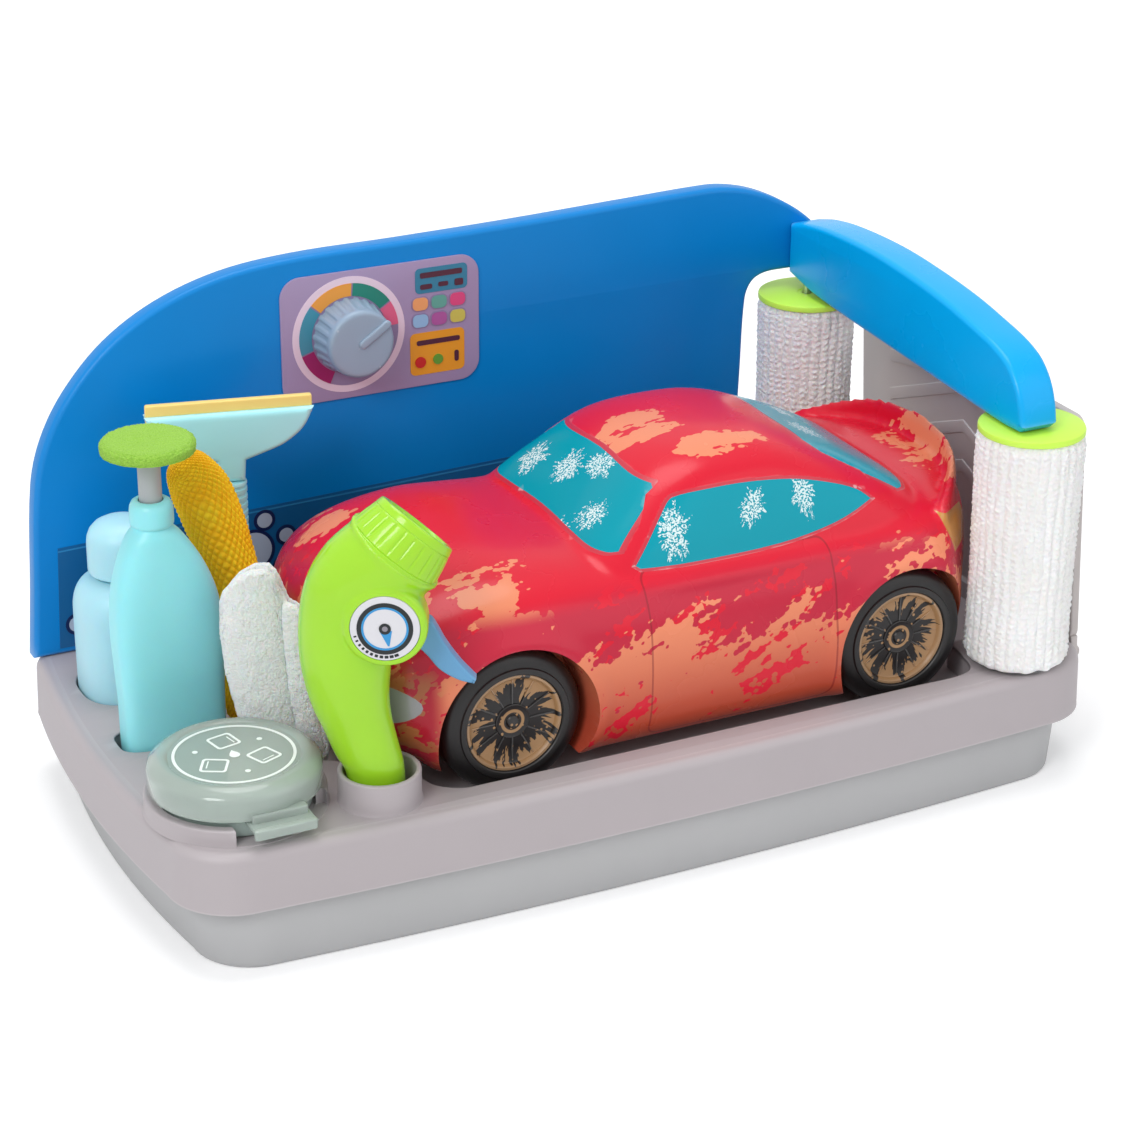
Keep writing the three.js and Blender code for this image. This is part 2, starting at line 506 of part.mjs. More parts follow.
// Back wall: skin and rim, open at the back, with tabs into the deck.
const wallOutside = slabY(WALL_EDGE, BACK.front, BACK.back, BACK.bevel);
const wallBase = box(
  [WALL_EDGE[0][0], WALL_EDGE[WALL_EDGE.length - 1][0]], [BACK.front, BACK.back],
  [BACK.bottom, BACK.bottom + BACK.bevel],
);
const wallInside = slabY(inset(WALL_EDGE, BACK.rim), BACK.front + BACK.skin, BACK.back + WALL);
const wallTabs = BACK.tabs.map((x) => box(
  [x - BACK.tabWide / 2, x + BACK.tabWide / 2], [BACK.front + WALL, BACK.front + WALL * 2],
  [BACK.bottom - BACK.tabDeep, BACK.bottom + WALL],
));
const beamEnd = [BEAM_UNDER[BEAM_UNDER.length - 1][1], BEAM_TOP[0][1]];
const tongue = { x: (BEAM.left + BEAM.right) / 2, z: (beamEnd[0] + beamEnd[1]) / 2 };
const tongueBox = (grow, deep) => box(
  [tongue.x - BEAM.tongue / 2 - grow, tongue.x + BEAM.tongue / 2 + grow],
  [BACK.front - grow, BACK.front + deep],
  [tongue.z - BEAM.tongue / 2 - grow, tongue.z + BEAM.tongue / 2 + grow],
);
const shaftHole = barY(KNOB.at[0], KNOB.at[1], KNOB.shaft + RUN, BACK.front - WALL, BACK.back);
let wall = wallOutside.add(wallBase).subtract(wallInside).add(join(wallTabs));
wall = wall.subtract(tongueBox(FIT / 2, BACK.back - BACK.front)).subtract(shaftHole);
add('back_wall', wall, COLOR.wall);

// Arch beam: hollow from below, with posts for the roller pins and a tongue into the wall.
const beamProfile = [...BEAM_TOP, ...BEAM_UNDER];
const beamOutside = slabX(beamProfile, BEAM.left, BEAM.right, BEAM.bevel);
const beamFloor = BEAM_UNDER[0][1] - WALL * 4;
const hollowEnds = [BEAM_INSIDE[BEAM_INSIDE.length - 1][0], BEAM_INSIDE[0][0]];
const hollowProfile = [...BEAM_INSIDE, ...hollowEnds.map((y) => [y, beamFloor])];
const beamInside = slabX(hollowProfile, BEAM.left + BEAM.skin, BEAM.right - BEAM.skin);
const underAt = (y) => {
  const points = [...BEAM_UNDER];
  const next = points.findIndex((point) => point[0] >= y);
  const [a, b] = [points[next - 1], points[next]];
  return a[1] + ((y - a[0]) / (b[0] - a[0])) * (b[1] - a[1]);
};
const beamPosts = ROLLER_AT.map(({ at }) => {
  const post = disc(at, BEAM.post, underAt(at[1]), underAt(at[1]) + WALL * 8, SMALL);
  return post.intersect(beamOutside);
});
const rollerTop = (plinth) => plinth + ROLLER.long + ROLLER.capThick;
const pinTop = (at) => underAt(at[1]) + PIN.down;
const pinBores = ROLLER_AT.map(({ at }) => disc(at, PIN.radius, 0, pinTop(at), SMALL));
const beamTongue = tongueBox(0, BEAM.tongueDeep).add(tongueBox(0, WALL).translate([0, -WALL, 0]));
const beam = beamOutside.subtract(beamInside).add(join(beamPosts)).add(beamTongue).subtract(join(pinBores));
add('arch_beam', beam, COLOR.beam);

// Rollers: drum with its lower disc, top cap, fleece sleeve and the pin under the beam.
for (const { name, at, plinth } of ROLLER_AT) {
  const top = rollerTop(plinth);
  const pinLow = top - PIN.down;
  const shell = disc(at, ROLLER.core - ROLLER.skin, plinth - WALL, top - ROLLER.capThick - ROLLER.skin * 2);
  const hub = disc(at, ROLLER.bore + ROLLER.skin, plinth, top - ROLLER.capThick);
  const drum = disc(at, ROLLER.core, plinth, top - ROLLER.capThick).subtract(shell).add(hub);
  const stubBore = disc(at, ROLLER.bore, plinth - WALL, plinth + STUB.tall + RUN * 2);
  const pinBore = disc(at, ROLLER.bore, pinLow - RUN * 2, top + WALL);
  add(`roller_${name}_drum`, drum.subtract(stubBore).subtract(pinBore), COLOR.lime);
  const capLow = top - ROLLER.capThick;
  const cap = spin([[ROLLER.bore, capLow], [ROLLER.cap, capLow], [ROLLER.cap, top - ROLLER.edge],
    [ROLLER.cap - ROLLER.edge, top], [ROLLER.bore, top], [ROLLER.bore, capLow]], at, FINE);
  add(`roller_${name}_cap`, cap, COLOR.lime);
  const sleeve = spin([[ROLLER.core, plinth], [ROLLER.outer - ROLLER.edge, plinth],
    [ROLLER.outer, plinth + ROLLER.edge], [ROLLER.outer, capLow - ROLLER.edge],
    [ROLLER.outer - ROLLER.edge, capLow], [ROLLER.core, capLow], [ROLLER.core, plinth]], at);
  add(`roller_${name}_fleece`, sleeve, COLOR.fleece);
  add(`roller_${name}_pin`, disc(at, PIN.radius - RUN / 8, pinLow, pinTop(at), SMALL), COLOR.steel);
}

// Ramp: plate with raised chevrons, folded up and leaning in a little, on a rod.
const rampLow = TRAY_Z.deck + WALL - RAMP.hinge[1];
const rampFace = -RAMP.thick / 2;
const rampMid = (RAMP.near + RAMP.far) / 2;
const plate = box([rampFace, RAMP.thick / 2], [RAMP.near, RAMP.far], [rampLow, RAMP.long]);
const neck = box([rampFace, RAMP.thick / 2], [-RAMP.neck, RAMP.neck], [0, rampLow + WALL]);
const barrel = barY(0, 0, RAMP.barrel, -RAMP.neck, RAMP.neck, SMALL);
const rampBore = barY(0, 0, RAMP.rod + RUN / 2, -NOTCH.half * 2, NOTCH.half * 2, SMALL);
const rampGaps = HINGE_POST.at.map((y) => box(
  [-RAMP.barrel * 2, RAMP.barrel * 2], [y - HINGE_POST.half - FIT, y + HINGE_POST.half + FIT],
  [-RAMP.barrel * 2, RAMP.barrel + FIT * 2],
));
const chevrons = [];
for (let row = 0; row < CHEVRON.rows; row += 1) {
  const z = CHEVRON.first + row * CHEVRON.pitch;
  const tip = Math.min(z + CHEVRON.rise, RAMP.long - CHEVRON.band - CHEVRON.margin);
  const [from, to] = [rampMid - CHEVRON.halfWide, rampMid + CHEVRON.halfWide];
  const outline = [[from, z], [rampMid, tip], [to, z], [to, z + CHEVRON.band], [rampMid, tip + CHEVRON.band],
    [from, z + CHEVRON.band]];
  chevrons.push(slabX(outline, rampFace - CHEVRON.proud, 0));
}
const rampCorners = [[-1, RAMP.near], [1, RAMP.far]].map(([side, y]) => {
  const outline = [[y, RAMP.long - RAMP.edge], [y + side * WALL, RAMP.long + WALL],
    [y - side * RAMP.edge, RAMP.long]];
  return slabX(outline, -RAMP.thick, RAMP.thick);
});
let ramp = join([plate, neck, barrel, ...chevrons]).subtract(join([rampBore, ...rampGaps, ...rampCorners]));
ramp = ramp.rotate([0, -RAMP.lean, 0]).translate([RAMP.hinge[0], 0, RAMP.hinge[1]]);
add('ramp', ramp, COLOR.ramp);
const rod = barY(RAMP.hinge[0], RAMP.hinge[1], RAMP.rod, -RAMP.neck + WALL, RAMP.neck - WALL, SMALL);
add('ramp_rod', rod, COLOR.steel);

// Control panel plate and the ribbed timer knob with its shaft and retaining clip.
const panelPlan = [];
const panelCorners = [[PANEL.right, PANEL.high], [PANEL.left, PANEL.high], [PANEL.left, PANEL.low],
  [PANEL.right, PANEL.low]];
panelCorners.forEach(([cx, cz], from) => {
  const sx = Math.sign(PANEL.left + PANEL.right - 2 * cx);
  const sz = Math.sign(PANEL.low + PANEL.high - 2 * cz);
  for (let step = 0; step <= CORNER_STEPS; step += 1) {
    const angle = ((from + step / CORNER_STEPS) * Math.PI) / 2;
    panelPlan.push([cx + PANEL.corner * (sx + Math.cos(angle)), cz + PANEL.corner * (sz + Math.sin(angle))]);
  }
});
const panel = slabY(panelPlan, BACK.front - PANEL.thick, BACK.front);
add('control_panel', panel.subtract(shaftHole), COLOR.panel);
const knobFront = BACK.front - PANEL.thick - KNOB.gap - KNOB.deep;
const knobPlan = (cut) => {
  const plan = [];
  for (let step = 0; step < KNOB.ribs * 2; step += 1) {
    const angle = (step / (KNOB.ribs * 2)) * Math.PI * 2;
    const radius = KNOB.radius - cut - (step % 2 ? KNOB.rib : 0);
    plan.push([KNOB.at[0] + radius * Math.cos(angle), KNOB.at[1] + radius * Math.sin(angle)]);
  }
  return plan;
};
const knobRing = (cut, y) => knobPlan(cut).map(([x, z]) => [x, y, z]);
const knobBody = stack([
  knobRing(KNOB.rib * 2, knobFront),
  knobRing(KNOB.rib / 2, knobFront + KNOB.rib),
  knobRing(0, knobFront + KNOB.rib * 3),
  knobRing(0, knobFront + KNOB.deep),
]);
const arrowTurn = (KNOB_ARROW.angle * Math.PI) / 180;
const arrowShape = [[KNOB_ARROW.inside, -KNOB_ARROW.half], [KNOB_ARROW.outside, 0],
  [KNOB_ARROW.inside, KNOB_ARROW.half]];
const arrow = arrowShape.map(([a, b]) => [
  KNOB.at[0] + a * Math.cos(arrowTurn) - b * Math.sin(arrowTurn),
  KNOB.at[1] + a * Math.sin(arrowTurn) + b * Math.cos(arrowTurn),
]);
const knobArrow = slabY(arrow, knobFront - KNOB_ARROW.proud, knobFront + KNOB.rib * 2);
const clipFrom = BACK.front + BACK.skin + RUN;
const shaftSpan = [knobFront + KNOB.deep / 2, clipFrom + KNOB.clipThick / 2];
const knobShaft = barY(KNOB.at[0], KNOB.at[1], KNOB.shaft, ...shaftSpan);
const knobClip = barY(KNOB.at[0], KNOB.at[1], KNOB.clip, clipFrom, clipFrom + KNOB.clipThick);
add('timer_knob', join([knobBody, knobArrow, knobShaft, knobClip]), COLOR.knob);

// Car body: sections along X for the lower body, rings up Z for the cabin.
function bodyLoft(cut, steps = CAR_STEPS) {
  const rings = CAR_BODY.map(([x, half, low, high], index) => {
    const end = index < 2 ? cut : (index > CAR_BODY.length - 3 ? -cut : 0);
    const plan = squircle([CAR.mid, (low + high) / 2], half - cut, (high - low) / 2 - cut, CAR_ROUND, steps);
    return plan.map(([y, z]) => [x + end, y, z]);
  });
  return stack(rings);
}

function cabinLoft(cut, steps = CAR_STEPS) {
  const rings = CAR_CABIN.map(([z, from, to, half, power]) => {
    const plan = squircle([(from + to) / 2, CAR.mid], (to - from) / 2 - cut, half - cut, power, steps);
    return ringAt(plan, z - cut);
  });
  return stack(rings);
}

const spoilerHalf = SPOILER.edge.slice(0, -1).reverse();
const spoilerMirror = spoilerHalf.map(([x, y, high, deep]) => [x, CAR.mid + (CAR.mid - y), high, deep]);
const spoiler = stack([...SPOILER.edge, ...spoilerMirror].map(([x, y, high, deep]) => [
  [x, y, SPOILER.low], [x, y, high], [x - SPOILER.lip, y, high], [x - deep, y, SPOILER.low]]));
const outerSkin = bodyLoft(0).add(cabinLoft(0)).add(spoiler);
const innerSkin = bodyLoft(CAR.skin, CAR_STEPS / 2).add(cabinLoft(CAR.skin, CAR_STEPS / 2));
const belowSill = box([-CAR.reach, CAR.reach], [-CAR.reach, CAR.reach], [0, CAR.sill]);
const wheelFaces = [-1, 1].map((side) => CAR.mid + side * TYRE.face);
const archSolids = (radius, extra) => CAR.wheelX.flatMap((x) => wheelFaces.map((face, side) => {
  const inward = side === 0 ? 1 : -1;
  const inner = face + inward * (TYRE.wide + extra);
  const ends = [inner, face - inward * WALL * 8].sort((a, b) => a - b);
  return barY(x, CAR.axleZ, radius, ends[0], ends[1], CAR_STEPS);
}));
const cabinShell = cabinLoft(0).subtract(cabinLoft(CAR.skin));
const lampShell = bodyLoft(0).subtract(bodyLoft(CAR.skin));
const sidePrism = (side) => {
  const ends = [CAR.mid + side * CAR.windowIn, CAR.mid + side * CAR.reach].sort((a, b) => a - b);
  return slabY(SIDE_WINDOW, ends[0], ends[1]);
};
const screenPrism = (outline, side) => {
  const front = slabX(outline.map(([y, z]) => [CAR.mid + y, z]), -CAR.reach, CAR.reach);
  return front.intersect(slabY(side, -CAR.reach, CAR.reach));
};
const tailOutline = [[TAIL_LAMP.x[0], TAIL_LAMP.z[1]], [TAIL_LAMP.x[0] + TAIL_LAMP.slant, TAIL_LAMP.z[0]],
  [TAIL_LAMP.x[1], TAIL_LAMP.z[0]], [TAIL_LAMP.x[1], TAIL_LAMP.z[1] - TAIL_LAMP.slant]];
const tailPrism = (side) => {
  const ends = [CAR.mid + side * TAIL_LAMP.y, CAR.mid + side * CAR.reach].sort((a, b) => a - b);
  return slabY(tailOutline, ends[0], ends[1]);
};
const headPrism = (side) => {
  const at = [CAR.mid + side * HEAD_LAMP.y, HEAD_LAMP.z];
  const outline = squircle(at, HEAD_LAMP.half, HEAD_LAMP.tall, 2, SMALL);
  return slabX(outline, HEAD_LAMP.x[0], HEAD_LAMP.x[1]);
};
const inlays = [
  ['car_side_window_near', cabinShell, sidePrism(-1), COLOR.glass],
  ['car_side_window_far', cabinShell, sidePrism(1), COLOR.glass],
  ['car_windscreen', cabinShell, screenPrism(WINDSCREEN, WINDSCREEN_SIDE), COLOR.glass],
  ['car_rear_window', cabinShell, screenPrism(REAR_WINDOW, REAR_SIDE), COLOR.glass],
  ['car_tail_lamp_near', lampShell, tailPrism(-1), COLOR.amber],
  ['car_tail_lamp_far', lampShell, tailPrism(1), COLOR.amber],
  ['car_head_lamp_near', lampShell, headPrism(-1), COLOR.lamp],
  ['car_head_lamp_far', lampShell, headPrism(1), COLOR.lamp],
];
const linerSolids = archSolids(CAR.arch + CAR.archSkin, CAR.archSkin + CAR.archRoom);
const archLiners = join(linerSolids).intersect(outerSkin);
const archHollows = join(archSolids(CAR.arch, CAR.archRoom));
const axleRun = AXLE.radius + AXLE.run;
const axleBores = CAR.wheelX.map((x) => barY(x, CAR.axleZ, axleRun, -CAR.reach, CAR.reach, SMALL));
let carBody = outerSkin.subtract(innerSkin).add(archLiners);
carBody = carBody.subtract(join([archHollows, belowSill, ...axleBores]));
for (const [name, shell, prism, color] of inlays) {
  carBody = carBody.subtract(prism);
  add(name, largest(shell.intersect(prism)), color);
}
add('car_body', largest(carBody), COLOR.red);

// Underpan with a block for each axle.
const panCentre = [UNDERPAN.centre, CAR.mid];
const panPlan = squircle(panCentre, UNDERPAN.halfLong, UNDERPAN.halfWide, CAR_ROUND, CAR_STEPS);
const panSlab = column(panPlan, UNDERPAN.low, UNDERPAN.high);
const blocks = CAR.wheelX.map((x) => box(
  [x - UNDERPAN.block, x + UNDERPAN.block], [CAR.mid - UNDERPAN.blockHalf, CAR.mid + UNDERPAN.blockHalf],
  [UNDERPAN.low, UNDERPAN.blockTop],
));
const panArches = archSolids(CAR.arch + CAR.archSkin + FIT, CAR.archSkin + FIT + CAR.archRoom);
add('car_underpan', join([panSlab, ...blocks]).subtract(join([...panArches, ...axleBores])), COLOR.dark);

// Wheels: tyres and rims pressed on two axles.
CAR.wheelX.forEach((x, axleIndex) => {
  const pair = axleIndex === 0 ? 'front' : 'rear';
  const axle = barY(x, CAR.axleZ, AXLE.radius, CAR.mid - AXLE.halfLong, CAR.mid + AXLE.halfLong, SMALL);
  add(`axle_${pair}`, axle, COLOR.steel);
  [-1, 1].forEach((side) => {
    const word = side < 0 ? 'near' : 'far';
    const out = (value) => value * side;
    const lathe = (profile, steps) => {
      const shape = spin(profile, [0, 0], steps).rotate([side < 0 ? 90 : -90, 0, 0]);
      return shape.translate([x, CAR.mid, CAR.axleZ]);
    };
    const face = TYRE.face;
    const back = TYRE.face - TYRE.wide;
    const tyre = lathe([[TYRE.bore, back], [TYRE.radius - TYRE.round, back],
      [TYRE.radius, back + TYRE.round],
      [TYRE.radius, face - TYRE.round], [TYRE.radius - TYRE.round, face], [TYRE.bore, face - TYRE.lip],
      [TYRE.bore, back]], CAR_STEPS);
    add(`tyre_${pair}_${word}`, tyre, COLOR.tyre);
    const rimFace = face - TYRE.lip * 2;
    const rimBack = face - RIM.wide;
    const floor = rimFace - RIM.dish;
    const rim = lathe([[0, rimBack], [RIM.radius, rimBack], [RIM.radius, rimFace],
      [RIM.radius - RIM.lip, rimFace], [RIM.radius - RIM.lip - RIM.slope, floor], [RIM.hub, floor],
      [RIM.hub - RIM.slope, rimFace - RIM.slope], [0, rimFace - RIM.slope]], CAR_STEPS);
    const slots = [];
    for (let spoke = 0; spoke < RIM.spokes; spoke += 1) {
      const from = ((spoke + RIM.spokeShare) / RIM.spokes) * Math.PI * 2;
      const to = ((spoke + 1 - RIM.spokeShare) / RIM.spokes) * Math.PI * 2;
      const plan = [[RIM.slotIn, from], [RIM.slotOut, from], [RIM.slotOut, to], [RIM.slotIn, to]];
      const outline = plan.map(([radius, angle]) => [
        x + radius * Math.cos(angle), CAR.axleZ + radius * Math.sin(angle)]);
      const depths = [floor - RIM.slotDeep, rimFace + WALL].map((depth) => CAR.mid + out(depth));
      const ends = depths.sort((a, b) => a - b);
      slots.push(slabY(outline, ends[0], ends[1]));
    }
    const boreEnds = [CAR.mid + out(rimBack - WALL), CAR.mid + out(AXLE.halfLong)].sort((a, b) => a - b);
    const bore = barY(x, CAR.axleZ, AXLE.radius, boreEnds[0], boreEnds[1], SMALL);
    add(`rim_${pair}_${word}`, rim.subtract(join(slots)).subtract(bore), COLOR.rim);
  });
});

// Sprayer: a bent body of round sections, ribbed nozzle, gauge boss and trigger.
const sprayerRings = SPRAYER_BODY.map(([x, z, radius, tilt]) => {
  const angle = (tilt * Math.PI) / 180;
  return circle([0, 0], 1).map(([u, v]) => [
    x + radius * u * Math.cos(angle), radius * v * SPRAYER.flat, z - radius * u * Math.sin(-angle)]);
});
const acrossY = (at, radius, range, steps = FINE) => barY(at[0], at[1], radius, range[0], range[1], steps);
const bossFront = acrossY(BOSS.at, BOSS.radius, [-BOSS.front[1], -BOSS.front[0]]);
const bossBack = acrossY(BOSS.at, BOSS.radius - WALL, [-BOSS.back[1], -BOSS.back[0]]);
const gaugeSeat = acrossY(BOSS.at, BOSS.seat, [-BOSS.front[1] - WALL, -BOSS.front[1] + BOSS.seatDeep]);
const pinHole = acrossY(TRIGGER.pivot, TRIGGER.pin, [TRIGGER_PIN.from, TRIGGER_PIN.to], SMALL);
const nozzleEnd = (distance, radius, cut) => {
  const [dx, dz] = NOZZLE.out;
  const count = NOZZLE.ribs * 2;
  const ring = [];
  for (let step = 0; step < count; step += 1) {
    const angle = (step / count) * Math.PI * 2;
    const r = radius - (step % 2 ? cut : 0);
    const u = r * Math.cos(angle);
    const v = r * Math.sin(angle);
    const [x, z] = [NOZZLE.at[0] + dx * distance + dz * u, NOZZLE.at[1] + dz * distance - dx * u];
    ring.push([x, v * SPRAYER.flat, z]);
  }
  return ring;
};
const nozzleOuter = stack([
  nozzleEnd(FIT, NOZZLE.back - NOZZLE.edge, 0),
  nozzleEnd(FIT + NOZZLE.edge, NOZZLE.back, NOZZLE.rib),
  nozzleEnd(NOZZLE.long - NOZZLE.edge, NOZZLE.face, NOZZLE.rib),
  nozzleEnd(NOZZLE.long, NOZZLE.face - NOZZLE.edge, 0),
]);
const nozzleBore = stack([
  nozzleEnd(NOZZLE.long - NOZZLE.deep, NOZZLE.bore, 0),
  nozzleEnd(NOZZLE.long + WALL, NOZZLE.bore + NOZZLE.edge, 0),
]);
const sprayerLoft = stack(sprayerRings);
const roomEnd = BOSS.at[0] + BOSS.radius + WALL;
const triggerRoom = box([TRIGGER_ROOM.x, roomEnd], [-BOSS.front[0], -BOSS.back[1]], TRIGGER_ROOM.z);
const sprayerCuts = join([gaugeSeat, triggerRoom, pinHole]);
const sprayerBody = join([sprayerLoft, bossFront, bossBack]).subtract(sprayerCuts);
const nozzle = nozzleOuter.subtract(nozzleBore).subtract(sprayerLoft);
add('sprayer_body', place(sprayerBody, SPRAYER.at, TURN), COLOR.green);
add('sprayer_nozzle', place(nozzle, SPRAYER.at, TURN), COLOR.green);
const gaugeAt = -BOSS.front[1] + BOSS.seatDeep;
const gauge = acrossY(BOSS.at, GAUGE.radius, [gaugeAt - GAUGE.thick, gaugeAt]);
add('sprayer_gauge', place(gauge, SPRAYER.at, TURN), COLOR.white);
const leverSpan = [-TRIGGER.half, TRIGGER.half];
const leverHub = acrossY(TRIGGER.pivot, TRIGGER.hub, leverSpan, SMALL);
const lever = slabY(TRIGGER_EDGE, leverSpan[0], leverSpan[1]).add(leverHub);
const leverBore = acrossY(TRIGGER.pivot, TRIGGER.pin + RUN, [-WALL * 4, WALL * 4], SMALL);
add('sprayer_trigger', place(lever.subtract(leverBore), SPRAYER.at, TURN), COLOR.trigger);
const leverPin = acrossY(TRIGGER.pivot, TRIGGER.pin - RUN / 8, [TRIGGER_PIN.from, TRIGGER_PIN.to], SMALL);
add('sprayer_trigger_pin', place(leverPin, SPRAYER.at, TURN), COLOR.steel);

// Bottles: rings of squircles, hollow through the neck.
function bottle(rings, at, skin) {
  const ring = ([z, dx, halfX, halfY, power], cut) => {
    return ringAt(squircle([at[0] + dx, at[1]], halfX - cut, halfY - cut, power), z);
  };
  const outside = stack(rings.map((entry) => ring(entry, 0)));
  const last = rings[rings.length - 1];
  const inner = rings.slice(1).map((entry) => ring(entry, skin));
  const inside = stack([...inner, ring([last[0] + WALL * 4, ...last.slice(1)], skin)]);
  return outside.subtract(inside);
}

const stemAt = [PUMP.stemX, PUMP.at[1]];
const pumpNeck = disc(stemAt, PUMP.neck, PUMP_BODY[PUMP_BODY.length - 1][0] - WALL, PUMP_NECK.top);
const pumpBore = disc(stemAt, PUMP.stem + RUN, PUMP_BODY[4][0], PUMP_NECK.top + WALL);
add('pump_bottle', bottle(PUMP_BODY, PUMP.at, PUMP.skin).add(pumpNeck).subtract(pumpBore), COLOR.aqua);
const collar = spin([[PUMP.stem + RUN, COLLAR.high], [COLLAR.top, COLLAR.high],
  [COLLAR.radius, COLLAR.high - WALL],
  [COLLAR.radius, COLLAR.low], [PUMP.neck, COLLAR.low], [PUMP.neck, PUMP_NECK.top],
  [PUMP.stem + RUN, PUMP_NECK.top], [PUMP.stem + RUN, COLLAR.high]], stemAt);
add('pump_collar', collar, COLOR.aqua);
const stemHub = disc(stemAt, PLUNGER.hub, PLUNGER.high - PLUNGER.hubTall, PLUNGER.high);
add('pump_stem', disc(stemAt, PUMP.stem, PLUNGER.low, PLUNGER.high).add(stemHub), COLOR.stem);
const pad = spin([[0, PAD.low], [PAD.radius - PAD.round, PAD.low], [PAD.radius, PAD.low + PAD.round],
  [PAD.radius, PAD.high - PAD.round], [PAD.radius - PAD.round, PAD.high], [0, PAD.high]], stemAt, FINE);
add('pump_scrub_pad', pad, COLOR.pad);
add('soap_bottle', bottle(SOAP_BODY, SOAP.at, SOAP.skin), COLOR.soap);
const capAt = [SOAP.at[0] + SOAP_CAP.offset, SOAP.at[1]];
const neckTop = SOAP_BODY[SOAP_BODY.length - 1];
const capDome = [];
for (let step = 0; step <= SOAP_CAP.domeSteps; step += 1) {
  const angle = ((step / SOAP_CAP.domeSteps) * Math.PI) / 2;
  capDome.push([SOAP_CAP.radius * Math.cos(angle), SOAP_CAP.high - SOAP_CAP.dome * (1 - Math.sin(angle))]);
}
const cap = spin([[0, neckTop[0] + SOAP_CAP.neckGap],
  [neckTop[2] + SOAP_CAP.neckGap, neckTop[0] + SOAP_CAP.neckGap],
  [SOAP_BODY[5][2] + SOAP_CAP.neckGap, SOAP_CAP.low], [SOAP_CAP.radius, SOAP_CAP.low], ...capDome], capAt);
add('soap_cap', cap, COLOR.soap);

// Squeegee: flat head, rubber blade in its slot and a ringed grip in the deck socket.
const squeegeeHead = slabY(HEAD, -SQUEEGEE.thick / 2, SQUEEGEE.thick / 2, SQUEEGEE.edge);
const blade = box([-BLADE.half, BLADE.half], [-BLADE.thick / 2, BLADE.thick / 2], [BLADE.low, BLADE.high]);
const gripTop = HEAD[6][1];
const gripPlan = [];
for (let ring = 0; ring < GRIP_RINGS.count; ring += 1) {
  const z = GRIP_RINGS.first + ring * GRIP_RINGS.pitch;
  const [half, low] = [z + GRIP_RINGS.pitch / 2, SQUEEGEE.grip - GRIP_RINGS.deep];
  gripPlan.push([SQUEEGEE.grip, z], [SQUEEGEE.grip, half], [low, half], [low, z + GRIP_RINGS.pitch]);
}
const grip = spin([[0, BAY_FLOOR], [SQUEEGEE.grip - SQUEEGEE.edge, BAY_FLOOR],
  [SQUEEGEE.grip, BAY_FLOOR + SQUEEGEE.edge], ...gripPlan, [SQUEEGEE.grip - GRIP_RINGS.deep, gripTop],
  [0, gripTop]], [0, 0]);
add('squeegee_head', place(squeegeeHead.subtract(blade), STAND.at, SQUEEGEE.turn), COLOR.head);
add('squeegee_blade', place(blade, STAND.at, SQUEEGEE.turn), COLOR.blade);
add('squeegee_grip', place(grip, STAND.at, SQUEEGEE.turn), COLOR.head);

// Sponge: a bent cushion; towel: a folded bundle with soft laps.
const spongeRings = SPONGE_LINE.map(([x, z, half], index) => {
  const before = SPONGE_LINE[Math.max(index - 1, 0)];
  const after = SPONGE_LINE[Math.min(index + 1, SPONGE_LINE.length - 1)];
  const lean = Math.atan2(after[0] - before[0], after[1] - before[1]);
  const end = index === 0 || index === SPONGE_LINE.length - 1 ? SPONGE.endShare : 1;
  return squircle([0, 0], half, (SPONGE.thick / 2) * end, SPONGE.power).map(([u, v]) => [
    x + u * Math.cos(lean), v, z - u * Math.sin(lean)]);
});
add('sponge', place(stack(spongeRings), SPONGE.at, TURN), COLOR.sponge);
const towelRings = TOWEL_RINGS.map(([z, dx, half, deep]) => {
  const plan = squircle([dx, 0], half, deep, TOWEL.power, FINE);
  return plan.map(([u, v], index) => {
    const turn = (index / plan.length) * Math.PI * 2;
    const wave = Math.sin(turn * TOWEL_LAP.waves) * TOWEL_LAP.amp * (deep / TOWEL_RINGS[4][3]);
    const size = Math.hypot(u - dx, v) || 1;
    return [u + ((u - dx) / size) * wave, v + (v / size) * wave, z];
  });
});
add('towel', place(stack(towelRings), TOWEL.at, TURN), COLOR.towel);

// Ice box: a round box in the raised ring, with a dished lid and front tab.
const ice = spin([[0, ICE.low], [ICE.outer - ICE.edge, ICE.low], [ICE.outer, ICE.low + ICE.edge],
  [ICE.outer, ICE.top], [ICE.outer - ICE.skin, ICE.top], [ICE.outer - ICE.skin, ICE.low + ICE.floor],
  [0, ICE.low + ICE.floor]], RING.at, FINE);
add('ice_box', ice, COLOR.milky);
const lidRoof = LID.shoulder - LID.skin;
const lid = spin([[0, LID.top - LID.dishDeep], [LID.dish, LID.top - LID.dishDeep],
  [LID.dish + LID.edge, LID.top],
  [LID.crown, LID.top], [LID.outer - LID.edge, LID.shoulder], [LID.outer, LID.shoulder - LID.edge * 2],
  [LID.outer, LID.under], [ICE.outer + FIT / 2, LID.under], [ICE.outer + FIT / 2, ICE.top + FIT],
  [LID.plug, ICE.top + FIT], [LID.plug, LID.plugLow], [LID.plug - LID.skin, LID.plugLow],
  [LID.plug - LID.skin, lidRoof], [0, lidRoof]], RING.at, FINE);
const tabBox = box(
  [RING.at[0] + TAB.left, RING.at[0] + TAB.right], [RING.at[1] - TAB.out, RING.at[1] - TAB.root],
  [TAB.low, LID.under + LID.edge],
);
const tabCut = disc(RING.at, ICE.outer + FIT / 2, 0, LID.under + WALL * 2, FINE);
const tabLow = box(
  [RING.at[0] + TAB.left * 2, RING.at[0] + TAB.right * 2],
  [RING.at[1] - TAB.out * 2, RING.at[1] - RING.outer - FIT],
  [TAB.high, LID.under + WALL * 4],
);
add('ice_lid', lid.add(tabBox.subtract(tabCut).subtract(tabLow)), COLOR.milky);

export default group;
